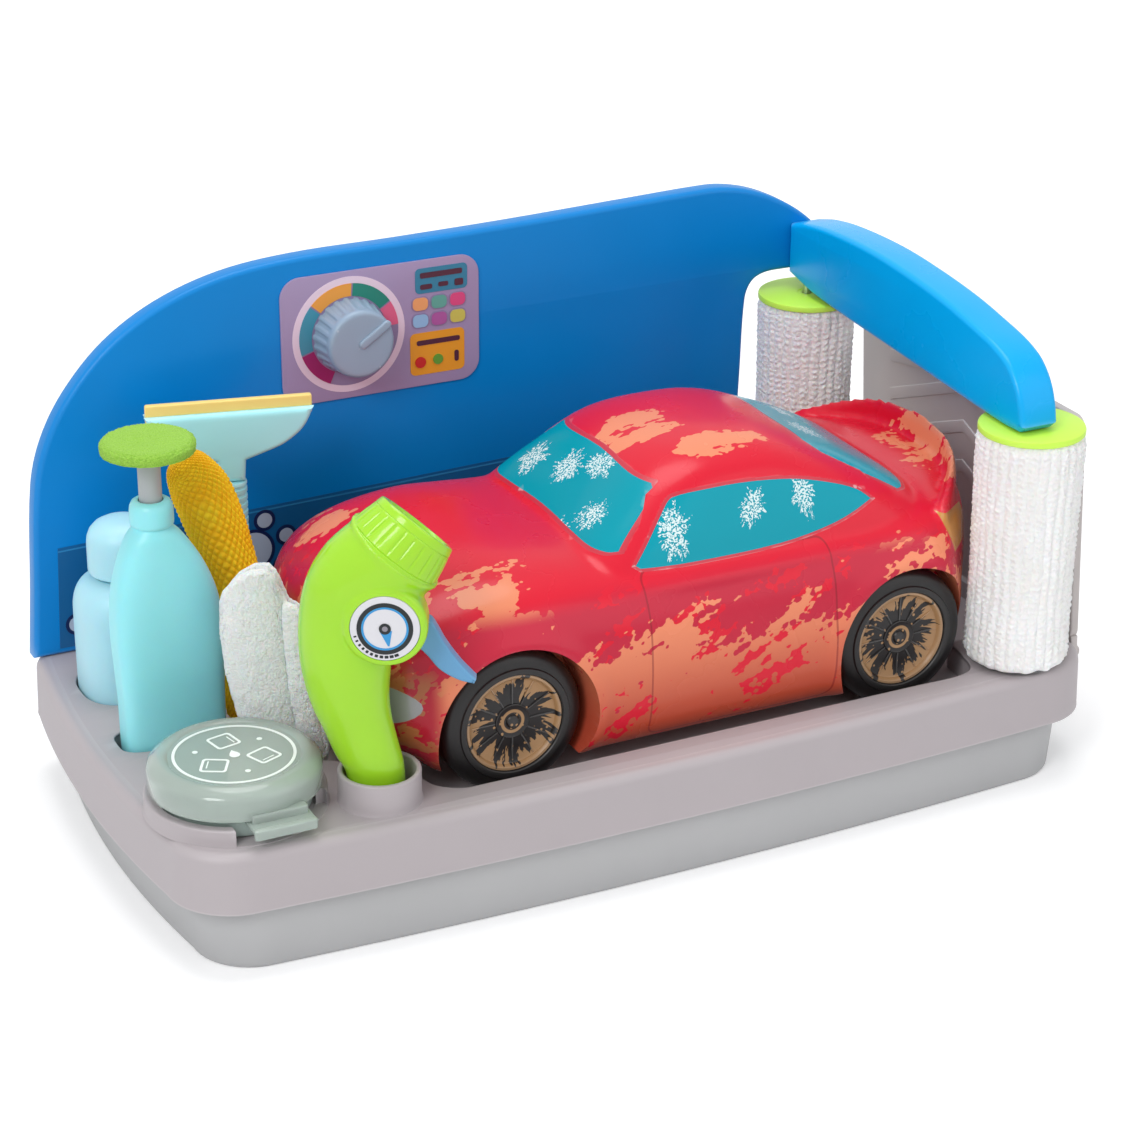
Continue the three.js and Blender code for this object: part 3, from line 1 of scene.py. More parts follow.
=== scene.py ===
# %% [markdown]
# A toy car wash is a good lesson in dressing a fixed frame. The solids arrive packed, in metres, each
# riding on a body that may move. This script replaces the plain solids with smooth, detailed pieces that
# stay in the same places, gives each a procedural finish, and never moves a solid.

import math

import bmesh
import bpy
from mathutils import Matrix, Vector, noise


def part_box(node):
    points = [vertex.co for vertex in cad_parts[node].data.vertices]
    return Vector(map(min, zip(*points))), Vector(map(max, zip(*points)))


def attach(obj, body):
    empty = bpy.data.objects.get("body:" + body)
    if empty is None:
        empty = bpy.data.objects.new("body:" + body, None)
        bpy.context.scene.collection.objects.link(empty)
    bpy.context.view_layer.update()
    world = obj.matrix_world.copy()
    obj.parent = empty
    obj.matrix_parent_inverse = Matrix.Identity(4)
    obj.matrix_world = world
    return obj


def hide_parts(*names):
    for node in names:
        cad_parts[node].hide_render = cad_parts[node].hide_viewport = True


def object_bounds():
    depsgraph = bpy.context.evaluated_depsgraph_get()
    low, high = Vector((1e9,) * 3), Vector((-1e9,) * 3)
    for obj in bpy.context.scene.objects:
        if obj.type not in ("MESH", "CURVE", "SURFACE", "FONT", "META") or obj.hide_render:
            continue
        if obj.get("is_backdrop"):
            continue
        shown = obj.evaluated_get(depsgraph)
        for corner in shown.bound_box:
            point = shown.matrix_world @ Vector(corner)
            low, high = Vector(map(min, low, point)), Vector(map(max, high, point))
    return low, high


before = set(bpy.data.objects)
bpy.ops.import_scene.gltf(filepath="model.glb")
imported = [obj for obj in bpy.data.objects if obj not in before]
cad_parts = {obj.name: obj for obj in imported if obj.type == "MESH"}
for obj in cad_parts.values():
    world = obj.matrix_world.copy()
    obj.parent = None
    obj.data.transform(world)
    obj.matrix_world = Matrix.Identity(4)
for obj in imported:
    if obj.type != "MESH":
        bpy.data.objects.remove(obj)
cad_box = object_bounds()
scene = bpy.context.scene
scene.view_settings.view_transform = "Standard"
MM = 0.001

# %% [markdown]
# The camera comes first, because everything later is judged through it. A pinhole camera was worked out
# from straight edges of the tray: where it looks, how far away it is and how long its lens is. The
# matrix is built from three directions at right angles, so there is no need to aim it by hand.

# %% Camera at the measured place
LOOK_AT = Vector((34.42, 74.85, 59.92)) * MM
CAMERA_AWAY = 1285.71 * MM
AZIMUTH = math.radians(-26.33)
ELEVATION = math.radians(23.99)
ROLL = math.radians(0.32)
LENS = 92.006

ca, sa = math.cos(AZIMUTH), math.sin(AZIMUTH)
ce, se = math.cos(ELEVATION), math.sin(ELEVATION)
back = Vector((sa * ce, -ca * ce, se))
level = Vector((ca, sa, 0.0))
upright = back.cross(level)
right = level * math.cos(ROLL) + upright * math.sin(ROLL)
up = upright * math.cos(ROLL) - level * math.sin(ROLL)
camera_data = bpy.data.cameras.new("view")
camera_data.lens = LENS
camera_data.sensor_width = 36.0
camera_data.clip_end = 20.0
camera = bpy.data.objects.new("view", camera_data)
turned = Matrix((right, up, back)).transposed().to_4x4()
camera.matrix_world = Matrix.Translation(LOOK_AT + back * CAMERA_AWAY) @ turned
scene.collection.objects.link(camera)
scene.camera = camera
print("camera at", [round(v, 3) for v in camera.location])

# %% [markdown]
# Three ways of making a shape serve most of the toy. A turned shape is a profile spun about an axis. A
# flat shape is a filled curve with a rounded rim, which handles holes well. A wrapped shape is a grid
# whose points are moved onto a surface given by two shares, u round it and v along it; the grid's seam
# and poles close when doubles are merged. All sizes are typed in millimetres and scaled once at the end.

# %% Shape helpers
def turned_shape(profile, steps, at=(0, 0, 0), axis="Z"):
    """Profile rows of radius and height, spun about an axis through a point."""
    bm = bmesh.new()
    verts = [bm.verts.new((radius, 0, height)) for radius, height in profile]
    edges = [bm.edges.new(pair) for pair in zip(verts, verts[1:])]
    bmesh.ops.spin(bm, geom=verts + edges, angle=2 * math.pi, steps=steps, axis=(0, 0, 1),
                   cent=(0, 0, 0), use_merge=True)
    bmesh.ops.remove_doubles(bm, verts=bm.verts, dist=0.001)
    turn = {"Z": Matrix(), "Y": Matrix.Rotation(-math.pi / 2, 4, "X"),
            "X": Matrix.Rotation(math.pi / 2, 4, "Y")}
    bmesh.ops.transform(bm, matrix=Matrix.Translation(at) @ turn[axis], verts=bm.verts)
    return bm


def flat_shape(outline, thick, rim=0.0, holes=(), steps=3):
    """A filled curve of that thickness, its rim rounded, lying in XY about z 0."""
    curve = bpy.data.curves.new("flat", "CURVE")
    curve.dimensions = "2D"
    curve.fill_mode = "BOTH"
    curve.extrude = thick / 2 - rim
    curve.bevel_depth = rim
    curve.bevel_resolution = steps
    curve.offset = -rim
    for line in (outline, *holes):
        ccw = sum(a[0] * b[1] - b[0] * a[1] for a, b in zip(line, [*line[1:], line[0]])) > 0
        row = list(line) if ccw == (line is outline) else list(reversed(line))
        spline = curve.splines.new("POLY")
        spline.points.add(len(row) - 1)
        for point, (x, y) in zip(spline.points, row):
            point.co = (x, y, 0, 1)
        spline.use_cyclic_u = True
    holder = bpy.data.objects.new("flat", curve)
    bm = bmesh.new()
    bm.from_mesh(holder.to_mesh())
    holder.to_mesh_clear()
    bpy.data.objects.remove(holder)
    bpy.data.curves.remove(curve)
    bmesh.ops.remove_doubles(bm, verts=bm.verts, dist=0.002)
    return bm


def wrapped_shape(surface, around, along, closed=True):
    """A grid whose points move to surface(u, v), with u round the shape and v along it."""
    bm = bmesh.new()
    bmesh.ops.create_grid(bm, x_segments=around, y_segments=along, size=0.5)
    for vert in bm.verts:
        vert.co = surface(vert.co.x + 0.5, vert.co.y + 0.5)
    if closed:
        bmesh.ops.remove_doubles(bm, verts=bm.verts, dist=0.003)
    return bm


def table_at(rows, share):
    """A smooth reading, at a share from 0 to 1, of a table of rows of numbers."""
    spot = min(max(share, 0.0), 1.0) * (len(rows) - 1)
    i = min(int(spot), len(rows) - 2)
    t = spot - i
    before, start = rows[max(i - 1, 0)], rows[i]
    end, after = rows[i + 1], rows[min(i + 2, len(rows) - 1)]
    weights = (-t ** 3 + 2 * t * t - t, 3 * t ** 3 - 5 * t * t + 2, -3 * t ** 3 + 4 * t * t + t,
               t ** 3 - t * t)
    return [0.5 * sum(w * v for w, v in zip(weights, four)) for four in zip(before, start, end, after)]


def eased_line(points, steps=5, corner=42):
    """A closed outline with its slight turns rounded and its true corners kept."""
    count, line = len(points), []
    flat = [Vector(p) for p in points]

    def is_corner(k):
        a, b, c = flat[k - 1], flat[k % count], flat[(k + 1) % count]
        return (b - a).angle(c - b, 0.0) > math.radians(corner)

    for k in range(count):
        a, b, c, d = (flat[(k + j) % count] for j in (-1, 0, 1, 2))
        size = (c - b).length
        leave = (c - b) if is_corner(k) else (c - a).normalized() * size
        arrive = (c - b) if is_corner(k + 1) else (d - b).normalized() * size
        for step in range(steps):
            t = step / steps
            h1, h2 = 2 * t ** 3 - 3 * t * t + 1, t ** 3 - 2 * t * t + t
            h3, h4 = -2 * t ** 3 + 3 * t * t, t ** 3 - t * t
            p = b * h1 + leave * h2 + c * h3 + arrive * h4
            line.append((p.x, p.y))
    return line


def box_line(x0, x1, y0, y1, radius, steps=6):
    """A rectangle with round corners."""
    line = []
    middles = ((x1 - radius, y1 - radius), (x0 + radius, y1 - radius), (x0 + radius, y0 + radius),
               (x1 - radius, y0 + radius))
    for turn, (cx, cy) in enumerate(middles):
        for step in range(steps + 1):
            angle = (turn + step / steps) * math.pi / 2
            line.append((cx + radius * math.cos(angle), cy + radius * math.sin(angle)))
    return line


def round_line(cx, cy, radius, steps=48, squash=1.0):
    return [(cx + radius * math.cos(k * 2 * math.pi / steps),
             cy + radius * squash * math.sin(k * 2 * math.pi / steps))
            for k in range(steps)]


def super_round(angle, half_x, half_y, power):
    """A point of a rounded square: power 2 is an ellipse, more is squarer."""
    c, s = math.cos(angle), math.sin(angle)
    return (math.copysign(abs(c) ** (2 / power) * half_x, c),
            math.copysign(abs(s) ** (2 / power) * half_y, s))


STAND_UP = Matrix.Rotation(math.pi / 2, 4, "X")
MIRROR_Y = Matrix.Scale(-1, 4, (0, 1, 0))


def moved(bm, *steps):
    """The same mesh after each matrix in turn."""
    for step in steps:
        bmesh.ops.transform(bm, matrix=step, verts=bm.verts)
    return bm


def shifted(x, y, z):
    return Matrix.Translation((x, y, z))


def together(*meshes):
    """Several meshes as one; material numbers are kept."""
    whole = bmesh.new()
    for bm in meshes:
        copy = bpy.data.meshes.new("copy")
        bm.to_mesh(copy)
        whole.from_mesh(copy)
        bm.free()
        bpy.data.meshes.remove(copy)
    return whole


def tinted(bm, number):
    for face in bm.faces:
        face.material_index = number
    return bm


made_rows = []


def piece(name, bm, body, finishes, slot, stands_for=(), sharp=38):
    """The finished object: scaled to metres, faces outwards, riding on its body."""
    bmesh.ops.recalc_face_normals(bm, faces=bm.faces)
    bmesh.ops.scale(bm, vec=(MM, MM, MM), verts=bm.verts)
    mesh = bpy.data.meshes.new(name)
    bm.to_mesh(mesh)
    bm.free()
    mesh.validate()
    for finish in finishes if isinstance(finishes, (list, tuple)) else [finishes]:
        mesh.materials.append(finish)
    mesh.polygons.foreach_set("use_smooth", [True] * len(mesh.polygons))
    mesh.set_sharp_from_angle(angle=math.radians(sharp))
    obj = bpy.data.objects.new(name, mesh)
    scene.collection.objects.link(obj)
    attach(obj, body)
    if stands_for:
        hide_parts(*([stands_for] if isinstance(stands_for, str) else stands_for))
    made_rows.append((name, len(mesh.polygons)))
    return obj


def cut_by(bm, *cutters, operation="DIFFERENCE"):
    """A mesh after a boolean with each cutter mesh, worked out by the modifier."""
    def holder(name, source):
        bmesh.ops.recalc_face_normals(source, faces=source.faces)
        mesh = bpy.data.meshes.new(name)
        source.to_mesh(mesh)
        source.free()
        obj = bpy.data.objects.new(name, mesh)
        scene.collection.objects.link(obj)
        return obj
    base = holder("base", bm)
    tools = [holder("tool", cutter) for cutter in cutters]
    for tool in tools:
        step = base.modifiers.new("cut", "BOOLEAN")
        step.operation = operation
        step.solver = "EXACT"
        step.object = tool
    out = bmesh.new()
    out.from_object(base, bpy.context.evaluated_depsgraph_get())
    for obj in (base, *tools):
        mesh = obj.data
        bpy.data.objects.remove(obj)
        bpy.data.meshes.remove(mesh)
    return out


print("helpers ready")

# %% [markdown]
# Moulded plastic is never one flat colour. It has a faint cloudiness and a fine grain from the mould, and
# its sharp rims get a painted highlight, some white mixed into the colour. These three effects are one
# shader node group, made once and placed in each material with its own values. A group gives out only a
# colour, a roughness or a normal; the shader itself stays in the material, because the export reads it
# there.

# %% Node helpers
def new_group(name, inputs, outputs):
    """An empty shader node group with named sockets."""
    tree = bpy.data.node_groups.new(name, "ShaderNodeTree")
    for title, kind, value in inputs:
        socket = tree.interface.new_socket(title, in_out="INPUT", socket_type="NodeSocket" + kind)
        if value is not None:
            socket.default_value = value
    for title, kind in outputs:
        tree.interface.new_socket(title, in_out="OUTPUT", socket_type="NodeSocket" + kind)
    return tree, tree.nodes.new("NodeGroupInput"), tree.nodes.new("NodeGroupOutput")


def node(tree, kind, *links, mode=None, **values):
    """A node of a kind, its inputs set by name or fed from (input, socket) pairs."""
    made = tree.nodes.new("ShaderNode" + kind)
    if mode:
        made.operation = mode
    for key, value in values.items():
        key = key.replace("_", " ")
        if key in made.inputs:
            made.inputs[key].default_value = value
        else:
            setattr(made, key.replace(" ", "_"), value)
    for title, source in links:
        tree.links.new(source, made.inputs[title])
    return made


def sums(tree, mode, first, second=0.0, third=None):
    """A Math node on sockets or plain numbers."""
    made = tree.nodes.new("ShaderNodeMath")
    made.operation = mode
    for spot, value in enumerate((first, second, third)):
        if value is None:
            continue
        if isinstance(value, (int, float)):
            made.inputs[spot].default_value = value
        else:
            tree.links.new(value, made.inputs[spot])
    return made.outputs[0]


def mixed(tree, share, first, second):
    """A colour mix; each side is a socket or a colour."""
    made = tree.nodes.new("ShaderNodeMix")
    made.data_type = "RGBA"
    for spot, value in ((0, share), (6, first), (7, second)):
        if isinstance(value, (int, float, tuple)):
            made.inputs[spot].default_value = value
        else:
            tree.links.new(value, made.inputs[spot])
    return made.outputs[2]


def ramped(tree, value, low, high, start=0.0, end=1.0):
    """A value carried smoothly from one range to another."""
    made = tree.nodes.new("ShaderNodeMapRange")
    made.interpolation_type = "SMOOTHSTEP"
    for spot, number in ((1, low), (2, high), (3, start), (4, end)):
        made.inputs[spot].default_value = number
    tree.links.new(value, made.inputs[0])
    return made.outputs[0]


def tone(code):
    """A colour picked as six hex digits, as the linear numbers that Blender mixes in."""
    parts = [int(code[k:k + 2], 16) / 255 for k in (0, 2, 4)]
    return tuple(p / 12.92 if p <= 0.04045 else ((p + 0.055) / 1.055) ** 2.4 for p in parts) + (1.0,)


def grouped(tree, group, *links, **values):
    """One group node in a material, its sockets set by name or fed."""
    made = tree.nodes.new("ShaderNodeGroup")
    made.node_tree = group
    for title, value in values.items():
        made.inputs[title.replace("_", " ")].default_value = value
    for title, source in links:
        tree.links.new(source, made.inputs[title])
    return made


def set_on(shader, **sockets):
    """Values on the shader's own sockets; an underscore stands for a space."""
    for title, value in sockets.items():
        shader.inputs[title.replace("_", " ")].default_value = value


def bumped(tree, shader, height, strength, distance):
    """A height value turned into the shader's normal."""
    bump = node(tree, "Bump", ("Height", height), Strength=strength, Distance=distance)
    tree.links.new(bump.outputs["Normal"], shader.inputs["Normal"])


# %% [markdown]
# The group reads a slow noise for the clouds, a quick one for the grain and the Pointiness of the surface
# for the rims. Clouds scale the colour and the roughness a little, the rims get a painted highlight, some
# white mixed into the colour, and the grain goes through a Bump node.

# %% Group for moulded plastic
moulded, g_in, g_out = new_group(
    "moulded", [("Colour", "Color", None), ("Cloud", "Float", 0.06), ("Grain", "Float", 0.12),
                ("Grain Scale", "Float", 1500.0), ("Gloss", "Float", 0.35), ("Rim", "Float", 0.25)],
    [("Colour", "Color"), ("Roughness", "Float"), ("Normal", "Vector")])
spot = node(moulded, "TexCoord").outputs["Object"]
cloud = node(moulded, "TexNoise", ("Vector", spot), Scale=28.0, Detail=4.0).outputs["Fac"]
speck = node(moulded, "TexNoise", ("Vector", spot), ("Scale", g_in.outputs["Grain Scale"]),
             Detail=3.0).outputs["Fac"]
swing = sums(moulded, "MULTIPLY", sums(moulded, "SUBTRACT", cloud, 0.5), g_in.outputs["Cloud"])
bright = sums(moulded, "ADD", 1.0, sums(moulded, "MULTIPLY", swing, 2.0))
toned = node(moulded, "VectorMath", ("Vector", g_in.outputs["Colour"]), mode="SCALE")
moulded.links.new(bright, toned.inputs["Scale"])
# Painted highlight: where the surface is sharply convex, some white is mixed into the colour.
edge = ramped(moulded, node(moulded, "NewGeometry").outputs["Pointiness"], 0.52, 0.6)
edge = sums(moulded, "MULTIPLY", edge, g_in.outputs["Rim"])
rim_highlighted = mixed(moulded, edge, toned.outputs["Vector"], (1.0, 1.0, 1.0, 1.0))
moulded.links.new(rim_highlighted, g_out.inputs["Colour"])
rough = sums(moulded, "ADD", g_in.outputs["Gloss"],
             sums(moulded, "MULTIPLY", sums(moulded, "SUBTRACT", cloud, 0.5), 0.16))
moulded.links.new(rough, g_out.inputs["Roughness"])
bump = node(moulded, "Bump", ("Height", speck), ("Strength", g_in.outputs["Grain"]), Distance=0.00006)
moulded.links.new(bump.outputs["Normal"], g_out.inputs["Normal"])
print("group:", moulded.name, len(moulded.nodes), "nodes")

# %% [markdown]
# A material is one Principled shader fed by the group. The colour is typed once; the rest says how
# glossy, how grainy and how see-through the plastic is. Numbers that are the same all over the surface,
# such as the coat or the light passed under the skin, are set on the shader's own sockets.

# %% Plastic finishes
def shader_of(name):
    """A new material, its tree and its Principled shader."""
    material = bpy.data.materials.new(name)
    material.use_nodes = True
    return material, material.node_tree, material.node_tree.nodes["Principled BSDF"]


def moulded_into(tree, shader, *links, **values):
    """The moulded group between a colour and the shader."""
    group = grouped(tree, moulded, *links, **values)
    for title, out in (("Base Color", "Colour"), ("Roughness", "Roughness"), ("Normal", "Normal")):
        tree.links.new(group.outputs[out], shader.inputs[title])


# The rim value is how much painted highlight, white mixed into the colour, goes along sharp rims.
def plastic(name, code, gloss=0.38, grain=0.12, cloud=0.06, rim=0.12, scale=1500.0, **sockets):
    """Moulded plastic of a colour; more sockets of the shader are given by name."""
    material, tree, shader = shader_of(name)
    moulded_into(tree, shader, Colour=tone(code), Cloud=cloud, Grain=grain, Grain_Scale=scale, Gloss=gloss,
                 Rim=rim)
    set_on(shader, **sockets)
    return material


def printed(name, code):
    """Ink on a glossy label: an even colour with a faint unevenness of the print."""
    return plastic(name, code, gloss=0.4, grain=0.03, cloud=0.03, rim=0.0, scale=600.0)


def plain(finish, *names):
    """A finish on solids that are shown as they come."""
    for name in names:
        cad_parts[name].material_slots[0].material = finish


deck_grey = plastic("deck_grey", "AFA7AA", gloss=0.46, grain=0.22, cloud=0.035, rim=0.10)
tub_grey = plastic("tub_grey", "B1B1B2", gloss=0.48, grain=0.26, cloud=0.035, rim=0.08)
wall_blue = plastic("wall_blue", "0081CE", gloss=0.34, grain=0.10, cloud=0.05, rim=0.10,
                    Specular_IOR_Level=0.22)
beam_blue = plastic("beam_blue", "00AAEE", gloss=0.28, grain=0.08, cloud=0.05, rim=0.14,
                    Specular_IOR_Level=0.25)
lime = plastic("lime", "C8F64A", gloss=0.36, grain=0.10, rim=0.10, Subsurface_Weight=0.1,
               Subsurface_Scale=0.002, Specular_IOR_Level=0.3)
ramp_grey = plastic("ramp_grey", "C2BAB8", gloss=0.5, grain=0.2, rim=0.16)
knob_grey = plastic("knob_grey", "8FA3B8", gloss=0.34, grain=0.08, rim=0.18)
steel = plastic("steel", "B9BCC2", gloss=0.3, grain=0.2, Metallic=1.0)
dark_plastic = plastic("dark_plastic", "26282B", gloss=0.55, grain=0.2)
sprayer_green = plastic("sprayer_green", "A0D82A", gloss=0.2, grain=0.05, rim=0.10, Subsurface_Weight=0.1,
                        Subsurface_Scale=0.002, Specular_IOR_Level=0.3, Coat_Weight=0.3)
trigger_blue = plastic("trigger_blue", "5E97C2", gloss=0.34, rim=0.12)
bottle_aqua = plastic("bottle_aqua", "92E4EC", gloss=0.36, grain=0.10, rim=0.12, Subsurface_Weight=0.2,
                      Subsurface_Scale=0.003)
soap_aqua = plastic("soap_aqua", "ACDDEA", gloss=0.40, grain=0.10, rim=0.10, Subsurface_Weight=0.2,
                    Subsurface_Scale=0.003)
stem_grey = plastic("stem_grey", "959A9E", gloss=0.4)
squeegee_aqua = plastic("squeegee_aqua", "A8EAF2", gloss=0.36, rim=0.12)
blade_yellow = plastic("blade_yellow", "F2D47C", gloss=0.52, grain=0.3, rim=0.06)
lamp_amber = plastic("lamp_amber", "C98A35", gloss=0.22, grain=0.05, Coat_Weight=0.5, Coat_Roughness=0.1)
lamp_grey = plastic("lamp_grey", "8D8A90", gloss=0.25, grain=0.05, Coat_Weight=0.4)
print("plastics:", len(bpy.data.materials))

# %% [markdown]
# The tray deck is one thin grey moulding: a rounded skirt, a sunk bay for the car, two wells for the
# bottles and round rims for the box, the sprayer and the squeegee. A filled curve makes the plate with
# its openings in one go and rounds every rim; the wells get wrapped walls that hang under those
# openings.

# %% Outlines of the tray
HALF_LONG, TRAY_FRONT, TRAY_BACK = 204.0, -100.8, 106.2
REAR_CORNER, FRONT_CORNER, END_BOW, FRONT_BOW = 16, 27, 6, 5.4
SKIRT, DECK, FLOOR = 28.5, 53.0, 41.0
BAY_END, BAY_EXIT = 194.0, 57
RAMP_FACE = 200.2
BAY = [(-96.5, -78.5), (-91, -84), (-84, -86.4), (120, -86.4), (139, -86.2), (148, -82), (152, -69),
       (153.5, -57), (BAY_END, -BAY_EXIT), (BAY_END, BAY_EXIT), (150, 57), (139, 60), (134, 70), (-96, 70),
       (-104, 62), (-108, 50), (-160, 50), (-165, 46), (-165, 30), (-148, 26), (-147, 2), (-164, -4),
       (-167, -15), (-162, -24), (-128, -41), (-116, -50), (-105, -58.5), (-99, -70)]
RING_AT, CUP_AT, STAND_AT = (-170.0, -59.0), (-119.2, -79.4), (-123.8, 61.9)
PUMP_AT, SOAP_AT = (-172.5, 6.0), (-174.0, 58.0)
CUP_INSIDE, STAND_INSIDE = 14.0, 6.8
SCREWS_AT = [(-60, -50), (84, -50), (-60, 42), (84, 42)]
ROLLERS = {"front": ((170.0, -82.0), 53.5, 8.0), "rear": ((161.0, 83.0), 61.0, 19.0)}


def tray_line(cut=0.0, end_cut=0.0, steps=14):
    """The tray's plan, bowed out at the ends and the front, moved in by a cut."""
    h, front, rear = HALF_LONG - end_cut, TRAY_FRONT + end_cut / 2, TRAY_BACK - end_cut * 0.75
    line = []

    def arc(cx, cy, radius, start):
        for k in range(steps + 1):
            angle = start + k / steps * math.pi / 2
            line.append((cx + (radius - cut) * math.cos(angle), cy + (radius - cut) * math.sin(angle)))

    def side(a, b, bow):
        for k in range(1, 24):
            t = k / 24
            push = 1 - (2 * t - 1) ** 2
            line.append((a[0] + (b[0] - a[0]) * t + bow[0] * push, a[1] + (b[1] - a[1]) * t + bow[1] * push))

    big, small = FRONT_CORNER, REAR_CORNER
    arc(h - small, rear - small, small, 0)
    side((h - small, rear - cut), (small - h, rear - cut), (0, 0))
    arc(small - h, rear - small, small, math.pi / 2)
    side((cut - h, rear - small), (cut - h, front + big), (-END_BOW, 0))
    arc(big - h, front + big, big, math.pi)
    side((big - h, front + cut), (h - big, front + cut), (0, -FRONT_BOW))
    arc(h - big, front + big, big, math.pi * 1.5)
    side((h - cut, front + big), (h - cut, rear - small), (END_BOW, 0))
    return line


def well_line(at, half_x, half_y, power, steps=56):
    return [(at[0] + p[0], at[1] + p[1])
            for p in (super_round(k * 2 * math.pi / steps, half_x, half_y, power) for k in range(steps))]


bay_line = eased_line(BAY, 6, 60)
pump_well = well_line((PUMP_AT[0] - 0.5, PUMP_AT[1]), 22.8, 11.4, 3.6)
soap_well = well_line(SOAP_AT, 20.6, 20.8, 2.6)
print("outline points:", len(tray_line()), "bay points:", len(bay_line))

# %% [markdown]
# The plate is thinner than the skirt: real mouldings have walls of 2 to 3 mm. So the skirt is its own
# wrapped wall with a rounded shoulder, and the deck plate meets it at the top.

# %% Deck plate, skirt and sunk floors
def floor_at(line, height, thick=1.6):
    return moved(flat_shape(line, thick), shifted(0, 0, height - thick / 2))


def loft_lines(rows):
    """A wall through closed lines of equal count, each at its own height."""
    count = len(rows[0][0])

    def surface(u, v):
        line, height = rows[int(round(v * (len(rows) - 1)))]
        k = int(round(u * count)) % count
        return (line[k][0], line[k][1], height)
    return wrapped_shape(surface, count, len(rows) - 1)


def shoulder(radius, top, steps=5):
    """Rows of (cut, height) round the top outer edge."""
    return [(radius * (1 - math.cos(k / steps * math.pi / 2)),
             top - radius * (1 - math.sin(k / steps * math.pi / 2)))
            for k in range(steps + 1)]


skirt_rows = [(2.4, SKIRT), (0.0, SKIRT), (0.15, SKIRT + 0.8), (0.8, DECK - 4)]
skirt_rows += [(0.8 + cut, height) for cut, height in shoulder(4.0, DECK)[1:]]
skirt_rows += [(7.0, DECK), (7.0, DECK - 2.2), (2.6, DECK - 6), (2.4, SKIRT)]
skirt = loft_lines([(tray_line(cut), height) for cut, height in skirt_rows])


def block(x0, x1, y0, y1, low, high):
    return moved(flat_shape(box_line(x0, x1, y0, y1, 0.4, 2), high - low), shifted(0, 0, (low + high) / 2))


def ramp_notch():
    """Room for the ramp's neck in the tray's end, and for the car's way out of the bay."""
    return [block(RAMP_FACE, 220, -79, 79, FLOOR + 0.02, 90),
            block(BAY_END - 3, 220, -BAY_EXIT, BAY_EXIT, FLOOR + 0.02, 90)]


holes = [bay_line, pump_well, soap_well, round_line(*CUP_AT, CUP_INSIDE), round_line(*STAND_AT, STAND_INSIDE)]
plate = moved(flat_shape(tray_line(6.6), 2.4, 0.6, holes, steps=2), shifted(0, 0, DECK - 1.2 + 0.02))
bay_wall = loft_lines([(bay_line, DECK - 0.5), (bay_line, FLOOR - 0.1)])
far_faces = [face for face in bay_wall.faces if face.calc_center_median().x > BAY_END - 0.6]
bmesh.ops.delete(bay_wall, geom=far_faces, context="FACES")
for vert in bay_wall.verts:
    if vert.co.x > BAY_END - 1:
        vert.co.x = RAMP_FACE
sunk = [bay_wall]
for line in holes[1:]:
    sunk.append(loft_lines([(line, DECK - 0.5), (line, FLOOR - 0.1)]))
deck = together(cut_by(skirt, *ramp_notch()), cut_by(plate, *ramp_notch()), *sunk)
tray_deck = piece("tray_deck_shell", deck, "tray", deck_grey, "deck_grey", "tray_deck", sharp=40)
print("deck polygons:", len(tray_deck.data.polygons))

# %% [markdown]
# Under the deck lies one level pan. It carries the car and the tools, reaches out under the ramp's hinge
# and has two small posts that hold the hinge rod. Four long posts hang from it for the screws.

# %% Floor pan
pan = [floor_at(tray_line(2.7, 8.0), FLOOR, 2.4), block(150, 204.6, -78.8, 78.8, FLOOR - 2.4, FLOOR - 0.01)]
for y in (-66, 66):
    pan.append(moved(flat_shape(box_line(197.8, 207.0, FLOOR, 48.7, 1.4, 5), 8.0, 0.5), STAND_UP,
                     shifted(0, y, 0)))
post_rows = [(0, 24.5), (1.4, 24.5), (1.4, 4.5), (4.2, 4.5), (4.5, 4.9), (4.5, 39.2), (0, 39.2)]
pan = together(*pan, *(turned_shape(post_rows, 24, (*at, 0)) for at in SCREWS_AT))
tray_floor = piece("tray_floor_pan", pan, "tray", deck_grey, "deck_grey", "tray_floor", sharp=40)
print("pan polygons:", len(tray_floor.data.polygons))

# %% [markdown]
# The raised parts of the same moulding are turned or pushed shapes that stand on the plate: the box ring
# with its front gap, the sprayer's cup, the squeegee's socket and the two round plinths under the rollers.

# %% Ring, cup, socket and plinths
def rim_ring(at, outer, inner, low, top, floor, radius=0.9, steps=72):
    """A turned wall with a rounded lip and a flat floor inside."""
    profile = [(outer + 0.7, low - 0.4), (outer + 0.1, low + 0.9), (outer, low + 2.0), (outer, top - radius)]
    profile += [(outer - radius * (1 - math.cos(k * math.pi / 8)),
                 top - radius * (1 - math.sin(k * math.pi / 8)))
                for k in range(1, 5)]
    profile += [(inner + radius * (1 - math.sin(k * math.pi / 8)),
                 top - radius * (1 - math.cos(k * math.pi / 8)))
                for k in range(0, 5)]
    profile += [(inner, floor + 0.6), (inner - 0.6, floor), (0.0, floor)]
    return turned_shape(profile, steps, (*at, 0))


